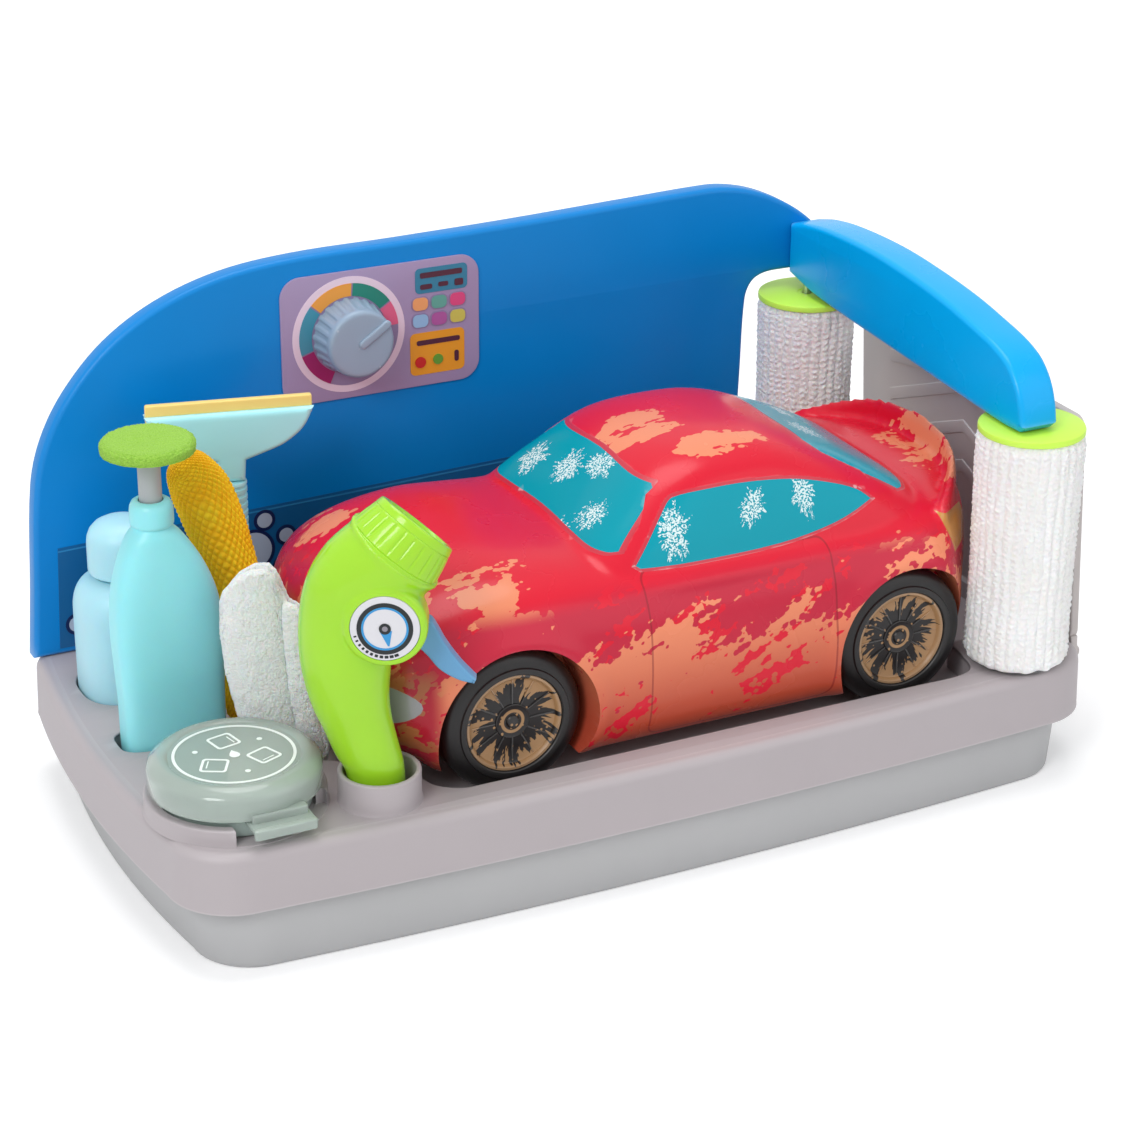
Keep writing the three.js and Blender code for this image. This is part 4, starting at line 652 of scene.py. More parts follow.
ring = rim_ring(RING_AT, 35.0, 30.6, DECK, 59.6, DECK + 0.1)
gap = moved(flat_shape(box_line(-182, -140, -112, -74.3, 1.2), 16), shifted(0, 0, DECK + 8.3))
ring = cut_by(ring, gap)
cup = rim_ring(CUP_AT, 16.1, CUP_INSIDE, DECK, 66.0, FLOOR)
socket = rim_ring(STAND_AT, 9.0, STAND_INSIDE, DECK, 58.0, FLOOR, 0.7, 48)
box_ring = piece("tray_box_ring", ring, "tray", deck_grey, "deck_grey", "box_ring", sharp=34)
cups = piece("tray_cup_and_socket", together(cup, socket), "tray", deck_grey, "deck_grey")
plinths = []
for at, top, base in ROLLERS.values():
    high = top - 0.35
    plinths.append(turned_shape([(base + 0.8, DECK - 0.3), (base, DECK + 0.25), (base, high - 0.25),
                                 (base - 0.3, high), (0, high)], 48, (*at, 0)))
    plinths.append(turned_shape([(2.1, high - 0.5), (2.1, high + 6.5), (1.6, high + 7), (0, high + 7)], 20,
                                (*at, 0)))
plinth = piece("tray_plinths", together(*plinths), "tray", deck_grey, "deck_grey")
print("raised parts:", [o.name for o in (box_ring, cups, plinth)])

# %% [markdown]
# Below the skirt sits the base tub. It is set in from the skirt all round and narrows towards the floor,
# so that it leaves its mould. One wrapped wall carries the draft and the small foot radius. The floor has
# a pad with a sunk hole for each screw.

# %% Base tub
tub_rows = [(9.0, 0.0), (3.4, 0.0), (2.7, 0.35), (2.25, 1.0), (2.0, 2.2), (0.0, SKIRT), (0.0, 48.4),
            (2.3, 48.4), (4.4, 3.0)]
pad_rows = [(1.8, 2.0), (3.8, 2.0), (3.8, 0.0), (6.0, 0.0), (6.0, 4.2), (5.7, 4.5), (1.8, 4.5), (1.8, 2.0)]
pad_room = [(0, -1), (5.9, -1), (5.9, 4), (0, 4)]
tub_floor = cut_by(floor_at(tray_line(8.9, 8.0), 2.2, 2.2),
                   *(turned_shape(pad_room, 24, (*at, 0)) for at in SCREWS_AT))
tub = together(loft_lines([(tray_line(cut, 8.0), height) for cut, height in tub_rows]), tub_floor,
               *(turned_shape(pad_rows, 24, (*at, 0)) for at in SCREWS_AT))
base_tub = piece("base_tub_shell", tub, "tray", tub_grey, "tub_grey", "base_tub", sharp=44)
print("tub polygons:", len(base_tub.data.polygons))
plain(steel, "screw_1", "screw_2", "screw_3", "screw_4")

# %% [markdown]
# The back wall is a blue panel with a sloping left end, a hooked right shoulder that carries the beam and
# a shallow lip all round. It is open at the back, so a narrower slab is cut out of the full one from
# behind. The beam is the same kind of shape, turned to run from the wall to the front.

# %% Back wall
WALL_EDGE = [(-203, 53), (-201, 80), (-197.5, 128), (-192, 148), (-181, 167), (-163, 186), (-140, 200),
             (-112, 209), (-80, 212.5), (-33, 213), (20, 214), (80, 216), (112, 217), (124, 216.6),
             (138, 213.5), (152, 207.5), (164, 200), (173, 191.5), (176, 184), (176, 174), (155, 174.4),
             (145, 173.8), (139, 170.5), (136, 163), (134.6, 130), (133.6, 100), (133, 53)]
wall_line = eased_line(WALL_EDGE, 6, 48)


def narrowed(line, distance):
    """A closed line moved inwards, for a lip or a hollow."""
    ccw = sum(a[0] * b[1] - b[0] * a[1] for a, b in zip(line, [*line[1:], line[0]])) > 0
    turn, made = (1 if ccw else -1) * distance, []
    for k in range(len(line)):
        a, b, c = Vector(line[k - 1]), Vector(line[k]), Vector(line[(k + 1) % len(line)])
        first, second = (b - a).normalized(), (c - b).normalized()
        side = Vector((-(first.y + second.y), first.x + second.x)).normalized()
        open_by = max(side.dot(Vector((-first.y, first.x))), 0.5)
        made.append((b.x + side.x * turn / open_by, b.y + side.y * turn / open_by))
    return made


def upright_slab(line, front, rear, rim):
    """A flat shape stood up in XZ, from its front face to its rear face."""
    return moved(flat_shape(line, rear - front, rim), STAND_UP, shifted(0, (front + rear) / 2, 0))


skin = upright_slab(wall_line, 94.0, 104.0, 2.3)
hollow = upright_slab(narrowed(wall_line, 3.5), 96.5, 110.0, 0.0)
back_wall = piece("back_wall_shell", cut_by(skin, hollow), "tray", wall_blue, "wall_blue", "back_wall",
                  sharp=30)
print("wall polygons:", len(back_wall.data.polygons))

# %% [markdown]
# Seen from the side, the beam is a long low arch with a rounded nose. It runs from the wall to the front,
# over the car. A slab of nearly the same outline is cut out from below, because a real moulding is a thin
# shell and not a solid bar.

# %% Arch beam
BEAM_TOP = [(94, 196), (80, 199.5), (60, 202), (30, 203), (5, 202), (-30, 198.5), (-55, 194), (-70, 190.5),
            (-80, 186), (-87, 179), (-91, 171)]
BEAM_UNDER = [(-93, 162.5), (-90, 159.8), (-78, 159.4), (0, 164), (70, 168.6), (94, 173)]
beam_line = eased_line(BEAM_TOP + BEAM_UNDER, 6, 40)
to_side = Matrix(((0, 0, 1, 0), (1, 0, 0, 0), (0, 1, 0, 0), (0, 0, 0, 1)))


def side_slab(line, near, far, rim):
    """A flat shape stood up in YZ, between two places along X."""
    return moved(flat_shape(line, far - near, rim, steps=4), to_side, shifted((near + far) / 2, 0, 0))


beam = side_slab(beam_line, 157.0, 175.0, 2.4)
under = [(-84.0, 140), (-84.0, 158), (-82, 177), (-74, 186), (-55, 190.6), (5, 198.6), (60, 198.6),
         (91.5, 194), (91.5, 140)]
beam = cut_by(beam, side_slab(under, 159.6, 172.4, 0.0))
arch_beam = piece("arch_beam_shell", beam, "tray", beam_blue, "beam_blue", "arch_beam", sharp=30)
print("beam polygons:", len(arch_beam.data.polygons))

# %% [markdown]
# The timer's label is a printed card on the wall. Its colours are separate thin layers of ink here, each
# a little in front of the last, so every edge of the print stays crisp from close by. The layout is a
# plain one: a ring of five coloured stretches, a small display, six keys and a coin plate.

# %% Control label
label_lilac = printed("label_lilac", "A08FB4")
INKS = {"ring": "E4CFE0", "teal": "12806F", "orange": "E79A3C", "blue": "3C8FA8", "magenta": "9A1563",
        "pink": "DE5F86", "display": "2B7E9E", "key_orange": "E8A066", "key_green": "5CA296",
        "key_pink": "D8487F", "key_blue": "8FB7DC", "key_violet": "A9579C", "key_lemon": "C8BE58",
        "plate": "E59A22", "dark": "4A1D33", "red": "C8201F", "green": "5F9A32", "seat": "8E7FA4"}
inks = {name: printed("ink_" + name, code) for name, code in INKS.items()}
ink_list = [label_lilac, *inks.values()]
ink_number = {name: k + 1 for k, name in enumerate(inks)}
WALL_FACE = 94.0
DIAL = (-58.0, 176.0)


def on_wall(line, number, lift, thick):
    """A printed patch on the wall's face, standing out from it by a lift."""
    return tinted(upright_slab(line, WALL_FACE - lift - thick, WALL_FACE - lift, 0.0), number)


def ink(line, name, lift, thick=0.25):
    """A patch of the label, in one of its named inks."""
    return on_wall(line, ink_number[name], lift, thick)


def sector(inner, outer, start, end, steps=16):
    """A stretch of a ring between two angles in degrees."""
    angles = [math.radians(start + (end - start) * k / steps) for k in range(steps + 1)]
    out = [(DIAL[0] + outer * math.cos(a), DIAL[1] + outer * math.sin(a)) for a in angles]
    back_way = [(DIAL[0] + inner * math.cos(a), DIAL[1] + inner * math.sin(a)) for a in reversed(angles)]
    return out + back_way


label = [upright_slab(box_line(-88.5, 2.5, 147.5, 204, 9, 8), 93.0, 93.98, 0.2)]
label.append(ink(round_line(*DIAL, 25.6, 72), "ring", 1.0))
label.append(ink(round_line(*DIAL, 22.6, 72), "seat", 1.2, 0.1))
for name, start, end in (("pink", 4, 32), ("teal", 34, 84), ("orange", 86, 138), ("blue", 140, 196),
                         ("magenta", 198, 246)):
    label.append(ink(sector(17.0, 22.6, start, end), name, 1.25))
label.append(ink(box_line(-27.2, -3.0, 189.2, 200.4, 2, 5), "display", 1.0))
for x0, x1, z0, z1 in ((-25, -5.5, 196, 198.4), (-25, -19.5, 191, 193.2), (-16.6, -12, 191.4, 193.4),
                       (-9, -5, 190.8, 193.8)):
    label.append(ink(box_line(x0, x1, z0, z1, 0.7, 4), "dark", 1.25))
for row, names in enumerate((("key_orange", "key_green", "key_pink"),
                             ("key_blue", "key_violet", "key_lemon"))):
    for col, name in enumerate(names):
        x, z = -28.6 + col * 8.7, 181.9 - row * 7.6
        label.append(ink(box_line(x - 0.5, x + 7.5, z - 0.5, z + 6.1, 2.4, 6), "seat", 1.0, 0.3))
        label.append(ink(box_line(x, x + 7, z, z + 5.6, 2.1, 6), name, 1.3, 0.3))
label.append(ink(box_line(-30, -4.6, 152.6, 171.6, 2.4, 6), "plate", 1.0))
for x0, x1, z0, z1 in ((-27, -6.8, 166, 168.2), (-9.4, -7.4, 156.6, 161.6)):
    label.append(ink(box_line(x0, x1, z0, z1, 0.9, 5), "dark", 1.25))
label.append(ink(round_line(-25.4, 158.4, 2.5, 28), "red", 1.25, 0.5))
label.append(ink(round_line(-17.2, 158.8, 2.3, 28), "green", 1.25, 0.5))
control = piece("control_label", together(*label), "tray", ink_list, "sticker", "control_panel", sharp=30)
print("label polygons:", len(control.data.polygons))

# %% [markdown]
# A second label, a broad sea-blue stripe with soap bubbles, runs along the foot of the wall behind the
# car. Each bubble is a pale disc on a larger dark one, and most are spread by a simple rule.

# %% Bubble stripe
stripe_ink = [printed("stripe_sea", "0A5F97"), printed("stripe_navy", "0B1F52"),
              printed("stripe_bubble", "B9C3D6"), printed("stripe_line", "2C86BE")]
stripe_top = [(-190, 101.6), (-120, 103.4), (-50, 105.2), (20, 107), (90, 109), (129, 110)]
stripe_line = stripe_top + [(129, 56), (-192, 56)]


layers = [on_wall(eased_line(stripe_line, 4, 40), 0, 0.02, 0.2)]
fine_line = [(x, z - 1.2) for x, z in stripe_top] + [(x, z - 1.9) for x, z in reversed(stripe_top)]
layers.append(on_wall(fine_line, 3, 0.24, 0.1))
bubbles = [(-98.8, 97.7, 3.4), (-89.2, 89.2, 3.2), (-104.4, 84.4, 8.4), (-89.0, 74.6, 5.4), (-100, 68, 2.6)]
for k in range(12):
    bubbles.append((-74 + 17.4 * k, 72 + 13 * math.sin(2.1 * k), 3.2 + 2.6 * abs(math.sin(1.3 * k))))
for k in range(5):
    bubbles.append((-184 + 15 * k, 66 + 9 * math.sin(1.9 * k), 2.6 + 1.8 * abs(math.sin(2.3 * k + 0.5))))
for x, z, radius in bubbles:
    layers.append(on_wall(round_line(x, z, radius + 1.5, 36), 1, 0.26, 0.1))
    layers.append(on_wall(round_line(x, z, radius, 36), 2, 0.4, 0.1))
bubble_stripe = piece("bubble_stripe", together(*layers), "tray", stripe_ink, "sticker", sharp=30)
print("bubbles:", len(bubbles), "on", bubble_stripe.name)

# %% [markdown]
# The timer knob is a cup with shallow fins on its flank, a plain rounded nose and a raised pointer. A
# wrapped grid gives the fins: the radius swells and sinks as the angle goes round, and the swell fades
# out towards the nose.

# %% Timer knob
def knob_surface(u, v):
    rows = [(0.0, 93.0), (15.0, 93.0), (16.25, 92.4), (16.3, 91.4), (15.9, 89), (15.4, 85), (14.95, 80.6),
            (14.75, 79.4), (14.2, 78.4), (13.2, 77.9), (11, 77.8), (6, 77.8), (0.0, 77.8)]
    radius, depth = table_at(rows, v)
    fin = 0.5 + 0.5 * math.tanh(3.0 * math.sin(u * 22 * 2 * math.pi))
    inside = min(1.0, max(0.0, (depth - 80.2) / 3.0)) * (1.0 if radius > 14.2 else 0.0)
    radius -= 0.75 * fin * inside
    angle = u * 2 * math.pi
    return (DIAL[0] + radius * math.cos(angle), depth, DIAL[1] + radius * math.sin(angle))


pointer_line = box_line(-1.5, 15.3, -1.9, 1.9, 1.85, 8)
turn_pointer = Matrix.Rotation(math.radians(34), 4, "Z")
pointer = moved(flat_shape(pointer_line, 1.9, 0.9, steps=4), turn_pointer, shifted(*DIAL, 0), STAND_UP,
                shifted(0, 77.6, 0))
knob = piece("timer_knob_shell", together(wrapped_shape(knob_surface, 264, 60), pointer), "knob", knob_grey,
             "knob_grey", "timer_knob", sharp=50)
print("knob polygons:", len(knob.data.polygons))

# %% [markdown]
# Each roller is a lime cap on a drum, wearing a sleeve of knobbly white fleece. Fleece like this is made
# of thick tufted yarns side by side. Rows of small tufts are raised round the sleeve by moving the
# points of a fine grid outwards; a noise breaks the rows up, and the lower hem is left ragged.

# %% Fleece finish
fleece, tree, shader = shader_of("fleece_white")
spot = node(tree, "TexCoord").outputs["Object"]
fuzz = node(tree, "TexNoise", ("Vector", spot), Scale=2600.0, Detail=5.0, Roughness=0.7).outputs["Fac"]
curl = node(tree, "TexVoronoi", ("Vector", spot), Scale=620.0, feature="F1").outputs["Distance"]
patch = node(tree, "TexNoise", ("Vector", spot), Scale=45.0, Detail=3.0).outputs["Fac"]
height = sums(tree, "ADD", sums(tree, "MULTIPLY", fuzz, 0.7), sums(tree, "MULTIPLY", curl, -0.9))
bumped(tree, shader, height, 0.75, 0.0007)
shade = mixed(tree, ramped(tree, patch, 0.35, 0.7), tone("FAF9F7"), tone("FFFFFF"))
# Painted shade: grey is mixed into the white where the curls' Voronoi distance is large, in the hollows
# between them.
shade = mixed(tree, ramped(tree, curl, 0.75, 1.15, 0.0, 0.25), shade, tone("D9D6D6"))
tree.links.new(shade, shader.inputs["Base Color"])
set_on(shader, Roughness=0.95, Sheen_Weight=0.5, Sheen_Roughness=0.5, Subsurface_Weight=0.15,
       Subsurface_Scale=0.002)
print("finish:", fleece.name)

# %% [markdown]
# One loop makes both rollers, because they differ only in place, height and plinth. Near its ends the
# sleeve closes in, and in between a function of angle and height says how far the tufts stand out.

# %% Rollers
def tufts(angle, height, seed, rows=30, pitch=2.6):
    """How far the fleece stands out, from 0 to 1, at an angle and a height in millimetres."""
    lane = angle / (2 * math.pi) * rows
    wander = noise.noise(Vector((height * 0.05, seed, math.floor(lane) * 1.7)))
    ridge = abs(math.cos(math.pi * (lane + 0.25 * wander)))
    tuft = 0.5 + 0.5 * math.sin(2 * math.pi * (height / pitch + 0.5 * (math.floor(lane) % 2) + wander))
    x, y = math.cos(angle) * 11, math.sin(angle) * 11
    rough = noise.fractal(Vector((x * 1.3, y * 1.3, height * 0.6 + seed)), 0.8, 2.1, 3)
    return 0.5 * ridge ** 0.7 + 0.3 * tuft * ridge + 0.3 * rough


def sleeve_surface(at, low, high, seed):
    def surface(u, v):
        angle = u * 2 * math.pi
        hem = 2.0 * noise.noise(Vector((math.cos(angle) * 4, math.sin(angle) * 4, seed)))
        if v < 0.04:
            radius, height = 20.0 - 2.2 * (1 - v / 0.04), low + 1.6 + hem * 0.6
        elif v > 0.97:
            radius, height = 20.4 - 2.6 * (v - 0.97) / 0.03, high
        else:
            share = (v - 0.04) / 0.93
            base = low + max(0.0, 2.2 + hem) * (1 - share) ** 6
            height = base + (high - base) * share
            belly = 20.9 + 0.45 * math.sin(share * 5 + seed)
            roll = min(1.0, share * 26, (1 - share) * 20)
            radius = belly - 1.3 * (1 - roll) ** 2 + 1.55 * tufts(angle, height, seed)
        radius = min(radius, 22.9)
        return (at[0] + radius * math.cos(angle), at[1] + radius * math.sin(angle), height)
    return surface


ROLLER_LONG = 102.5
for k, (name, (at, foot, base)) in enumerate(ROLLERS.items()):
    top = foot + ROLLER_LONG
    body = "roller_" + name
    cap_rows = [(2.4, top - 2), (17.6, top - 2), (17.8, top + 0.2), (21.7, top + 0.2), (22, top + 0.5),
                (22, top + 2.1), (21.75, top + 2.7), (21.1, top + 3), (4.6, top + 3), (4.3, top + 2.7),
                (2.4, top + 2.7), (2.4, top - 2)]
    cap = piece("roller_%s_cap_top" % name, turned_shape(cap_rows, 96, (*at, 0)), body, lime, "lime",
                body + "_cap", sharp=40)
    low = foot + 0.4
    sleeve = piece("roller_%s_sleeve" % name, wrapped_shape(sleeve_surface(at, low, top + 0.1, 3.0 + 5 * k),
                                                            330, 230),
                   body, fleece, "fleece", body + "_fleece", sharp=180)
    plain(dark_plastic, body + "_drum")
    plain(steel, body + "_pin")
    print(cap.name, sleeve.name, len(sleeve.data.polygons))

# %% [markdown]
# The ramp folds up against the end of the tray. It is a ribbed grey plate with raised chevrons that give
# the car's tyres a grip, standing on a barrel hinge. Each part is drawn flat, then stood up at the hinge
# and leaned outwards by the angle that the ramp stands at.

# %% Ramp
HINGE = (204.5, 46.0)
LEAN = math.radians(3)
RAMP_NEAR, RAMP_FAR = -77.5, 92
plate_line = box_line(RAMP_NEAR, RAMP_FAR, 5.2, 109, 6, 8)
MIDDLE = (RAMP_NEAR + RAMP_FAR) / 2
neck = box_line(RAMP_NEAR, -RAMP_NEAR, -1.0, 8, 0.6, 2)


def stood(bm, offset):
    """A flat shape in (Y, height) stood up at the hinge and leaned outwards."""
    return moved(bm, to_side, shifted(offset, 0, 0), Matrix.Rotation(-LEAN, 4, "Y"),
                 shifted(HINGE[0], 0, HINGE[1]))


ramp_parts = [stood(flat_shape(plate_line, 4.0, 0.9, steps=3), 0.0), stood(flat_shape(neck, 3.4, 0.4), 0.0)]
for row in range(4):
    foot = 30 + 19 * row
    tip = min(foot + 24, 99)
    line = [(-60, foot), (0, tip), (60, foot), (60, foot + 6), (0, tip + 6), (-60, foot + 6)]
    line = [(MIDDLE + y, z) for y, z in line]
    ramp_parts.append(stood(flat_shape(list(reversed(line)), 1.4, 0.35, steps=2), -2.0))
ramp_parts.append(turned_shape([(1.6, -77), (3.1, -77), (3.4, -76.6), (3.4, 76.6), (3.1, 77), (1.6, 77)], 32,
                               (HINGE[0], 0, HINGE[1]), "Y"))
ramp = piece("ramp_plate", together(*ramp_parts), "ramp", ramp_grey, "ramp_grey", "ramp", sharp=34)
plain(steel, "ramp_rod")
print("ramp polygons:", len(ramp.data.polygons))

# %% [markdown]
# The hand tools stand at the left end. The bottles are blow moulded: soft square plans that swell and
# shrink with height. A table of rows gives the height and the half sizes, and the wrapped grid reads it
# smoothly, so a dozen rows make a whole bottle.

# %% Pump bottle, collar, stem and pad
def tower(rows, at, around=72, along=90):
    """A closed shape from rows of height, shift, half sizes and squareness."""
    def surface(u, v):
        height, shift, half_x, half_y, power = table_at(rows, v)
        x, y = super_round(u * 2 * math.pi, max(half_x, 0.0), max(half_y, 0.0), max(power, 1.6))
        return (at[0] + shift + x, at[1] + y, height)
    return wrapped_shape(surface, around, along)


PUMP_ROWS = [(41.2, 0, 0, 0, 3), (41.1, 0, 18.5, 7.6, 3), (42.4, 0, 20.2, 9.2, 3.4), (45, 0, 20.7, 9.5, 3.8),
             (54, 0, 20.8, 9.6, 4.2), (70, 0, 20.9, 9.7, 4.4), (84, -0.2, 21.4, 10.1, 4.4),
             (96, -0.4, 21.8, 10.4, 4.4), (104, -0.6, 21.7, 10.5, 4.2), (112, -0.9, 21.0, 10.5, 4.0),
             (120, -1.5, 19.4, 10.3, 3.7), (128, -2.2, 16.8, 9.9, 3.3), (135, -3, 13.6, 9.4, 2.9),
             (140, -3.6, 10.8, 8.8, 2.5), (143, -4, 8.4, 7.6, 2.1), (144.5, -4, 7.4, 7.2, 2),
             (148.8, -4, 7.2, 7.2, 2), (149, -4, 0, 0, 2)]
pump_bottle = piece("pump_bottle_body", tower(PUMP_ROWS, PUMP_AT, 96, 120), "pump", bottle_aqua,
                    "bottle_aqua", "pump_bottle", sharp=60)
STEM_AT = (-176.5, 6.0)
collar_rows = [(5.0, 144.6), (7.9, 144.6), (8.5, 145.1), (8.6, 146.2), (8.6, 150.6), (8.35, 152.4),
               (7.6, 154), (6.4, 154.8), (5.4, 155), (4.9, 154.7), (4.9, 145.2)]
collar = piece("pump_collar_ring", turned_shape(collar_rows, 64, (*STEM_AT, 0)), "pump", bottle_aqua,
               "bottle_aqua", "pump_collar", sharp=50)
low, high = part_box("pump_stem")
stem_rows = [(0, low.z / MM + 0.1), (4.3, low.z / MM + 0.2), (4.5, low.z / MM + 0.6), (4.5, 174.6),
             (0, 174.7)]
stem = piece("pump_stem_rod", turned_shape(stem_rows, 48, (*STEM_AT, 0)), "plunger", stem_grey, "stem_grey",
             "pump_stem")


def pad_surface(u, v):
    """A flat disc of clipped pile, with a bushy rim."""
    rows = [(0, 174.8), (16.6, 174.9), (18.0, 175.5), (18.4, 176.8), (18.2, 178.2), (17.0, 179.2),
            (15.4, 179.5), (9, 179.5), (0, 179.4)]
    radius, height = table_at(rows, v)
    angle = u * 2 * math.pi
    x, y = math.cos(angle) * radius, math.sin(angle) * radius
    rough = noise.fractal(Vector((x * 1.3, y * 1.3, height * 1.3)), 0.7, 2.2, 3)
    grow = 1 + 0.022 * rough * (radius > 4)
    height += 0.34 * rough * (1 if height > 177 else 0) * min(1, radius / 3)
    return (STEM_AT[0] + x * grow, STEM_AT[1] + y * grow, min(height, 179.55))


pad_green, tree, shader = shader_of("pad_green")
spot = node(tree, "TexCoord").outputs["Object"]
pile = node(tree, "TexNoise", ("Vector", spot), Scale=1900.0, Detail=4.0, Roughness=0.7).outputs["Fac"]
loop = node(tree, "TexVoronoi", ("Vector", spot), Scale=760.0).outputs["Distance"]
height = sums(tree, "ADD", pile, sums(tree, "MULTIPLY", loop, -0.8))
bumped(tree, shader, height, 0.8, 0.0005)
# The green follows the pile noise that also makes the bump: the low pile is painted darker, as shade in its
# hollows, and the high pile lighter.
tree.links.new(mixed(tree, ramped(tree, pile, 0.3, 0.75), tone("86BE3C"), tone("B2DC62")),
               shader.inputs["Base Color"])
set_on(shader, Roughness=0.95, Specular_IOR_Level=0.15, Sheen_Weight=0.1)
pad = piece("pump_scrub_pad_disc", wrapped_shape(pad_surface, 220, 90), "plunger", pad_green, "pad_green",
            "pump_scrub_pad", sharp=180)
print("pump:", [o.name for o in (pump_bottle, collar, stem, pad)])

# %% [markdown]
# The second bottle is the same kind of tower with a rounder plan, and its cap is a turned dome. A second
# table of rows is all that it takes.

# %% Soap bottle and cap
SOAP_ROWS = [(41.2, 0, 0, 0, 2.4), (41.1, 0, 17.6, 18, 2.4), (42.6, 0, 19.3, 19.7, 2.6),
             (47, 0, 19.7, 20, 2.7), (60, 0, 19.8, 20, 2.7), (84, 0, 19.8, 20, 2.7), (91, 0, 19.5, 19.8, 2.6),
             (96, 0.2, 18.4, 18.7, 2.4), (99.5, 0.5, 16.2, 16.5, 2.3), (102, 0.8, 12.6, 12.7, 2.1),
             (103, 1, 10.4, 10.4, 2), (112, 1, 10, 10, 2), (112.2, 1, 0, 0, 2)]
soap = piece("soap_bottle_body", tower(SOAP_ROWS, SOAP_AT, 96, 110), "soap", soap_aqua, "soap_aqua",
             "soap_bottle", sharp=60)
cap_rows = [(10.5, 103.8), (14.1, 103.8), (14.5, 104.3), (14.6, 105.2), (14.55, 116), (14.2, 119),
            (13.2, 121.6), (11.2, 123.9), (8.2, 125.5), (4.5, 126.3), (0, 126.6)]
soap_cap = piece("soap_cap_dome", turned_shape(cap_rows, 72, (SOAP_AT[0] + 1, SOAP_AT[1], 0)), "soap_cap",
                 soap_aqua, "soap_aqua", "soap_cap", sharp=50)
print("soap:", soap.name, soap_cap.name)

# %% [markdown]
# The squeegee is three mouldings. Its head is a flat, waisted shape with a soft rim; its grip is turned,
# with grooves for the fingers; the pale yellow wiper is a foam strip pinched along the top.

# %% Squeegee
TURN = Matrix.Rotation(math.radians(-13), 4, "Z")
HEAD = [(-34.6, 163.4), (34.6, 163.4), (30, 154.5), (22, 148), (13, 144.4), (6, 142), (5.3, 133), (-5.3, 133),
        (-6, 142), (-13, 144.4), (-22, 148), (-30, 154.5)]


def at_stand(bm):
    return moved(bm, TURN, shifted(*STAND_AT, 0))


head_line = eased_line(HEAD, 6, 55)
wiper_room = moved(flat_shape(box_line(-36, 36, 160.1, 171, 0.4, 2), 3.3), STAND_UP)
head_shape = cut_by(moved(flat_shape(head_line, 8.4, 2.2, steps=4), STAND_UP), wiper_room)
head = piece("squeegee_head_plate", at_stand(head_shape), "squeegee", squeegee_aqua, "squeegee_aqua",
             "squeegee_head", sharp=32)
grip_rows = [(0, 41.1), (5.4, 41.1), (6.0, 41.7), (6.2, 42.7), (6.2, 70), (6.2, 99)]
for k in range(9):
    z = 101 + 3.4 * k
    grip_rows += [(6.2, z), (6.2, z + 1.5), (5.6, z + 1.9), (5.6, z + 2.8), (6.2, z + 3.2)]
grip_rows += [(6.2, 132.2), (5.9, 132.8), (0, 132.9)]
grip = piece("squeegee_grip_rod", at_stand(turned_shape(grip_rows, 56)), "squeegee", squeegee_aqua,
             "squeegee_aqua", "squeegee_grip", sharp=36)
wiper_line = box_line(-34.0, 34.0, 160.2, 168.0, 0.9, 4)
wiper = piece("squeegee_wiper", at_stand(moved(flat_shape(wiper_line, 3.0, 0.7, steps=3), STAND_UP)),
              "squeegee", blade_yellow, "blade_yellow", "squeegee_blade", sharp=36)
print("squeegee:", head.name, grip.name, wiper.name)

# %% [markdown]
# The sponge is a curved bolster of foam in a knitted yellow net. The bolster's middle line bends over to
# the left; the net's cells are raised by a pattern of crossing waves that follows the surface, read from
# the piece's own UV map in the finish and from the same two shares in the shape.

# %% Sponge
SLANT = Matrix.Rotation(math.radians(-26.3), 4, "Z")
SPONGE_ROWS = [(2.5, 42, 0.0), (2.5, 42.2, 5.2), (2.6, 44, 7.6), (3.4, 53, 9.4), (3.6, 66, 10.2),
               (3.2, 80, 10.4), (1.6, 94, 10.4), (-0.6, 107, 10.6), (-3.8, 120, 11.2), (-7.4, 132, 12.0),
               (-11.8, 144, 11.8), (-15.4, 151.4, 10.2), (-18.0, 156.2, 7.6), (-19.2, 158.2, 4.4),
               (-19.6, 158.9, 0.0)]


def sponge_surface(u, v):
    x, z, half = table_at(SPONGE_ROWS, v)
    half = max(half, 0.0)
    ahead = table_at(SPONGE_ROWS, min(1.0, v + 0.02))
    behind = table_at(SPONGE_ROWS, max(0.0, v - 0.02))
    run = Vector((ahead[0] - behind[0], ahead[1] - behind[1])).normalized()
    across = Vector((run.y, -run.x))
    angle = u * 2 * math.pi
    deep = min(6.4, 0.8 * half)
    out, side = super_round(angle, half, deep, 2.5)
    round_wave, long_wave = u * 24 * math.pi, v * 40 * math.pi
    net = abs(math.sin(round_wave + long_wave)) * abs(math.sin(round_wave - long_wave))
    lump = noise.noise(Vector((x * 0.09, z * 0.09, angle))) * 0.5
    grow = 1 + (0.09 * (net - 0.45) + 0.05 * lump) * min(1.0, half / 6)
    out *= min(grow, 1.06)
    side *= min(grow, 1.04)
    return (x + across.x * out, side, z + across.y * out)


def mapped_shape(surface, around, along, repeat):
    """A wrapped shape that keeps its shares, times a repeat, as a UV map named wrap."""
    bm = bmesh.new()
    bmesh.ops.create_grid(bm, x_segments=around, y_segments=along, size=0.5)
    layer = bm.loops.layers.uv.new("wrap")
    for face in bm.faces:
        for loop in face.loops:
            spot = loop.vert.co
            loop[layer].uv = ((spot.x + 0.5) * repeat[0], (spot.y + 0.5) * repeat[1])
    for vert in bm.verts:
        vert.co = surface(vert.co.x + 0.5, vert.co.y + 0.5)
    bmesh.ops.remove_doubles(bm, verts=bm.verts, dist=0.003)
    return bm


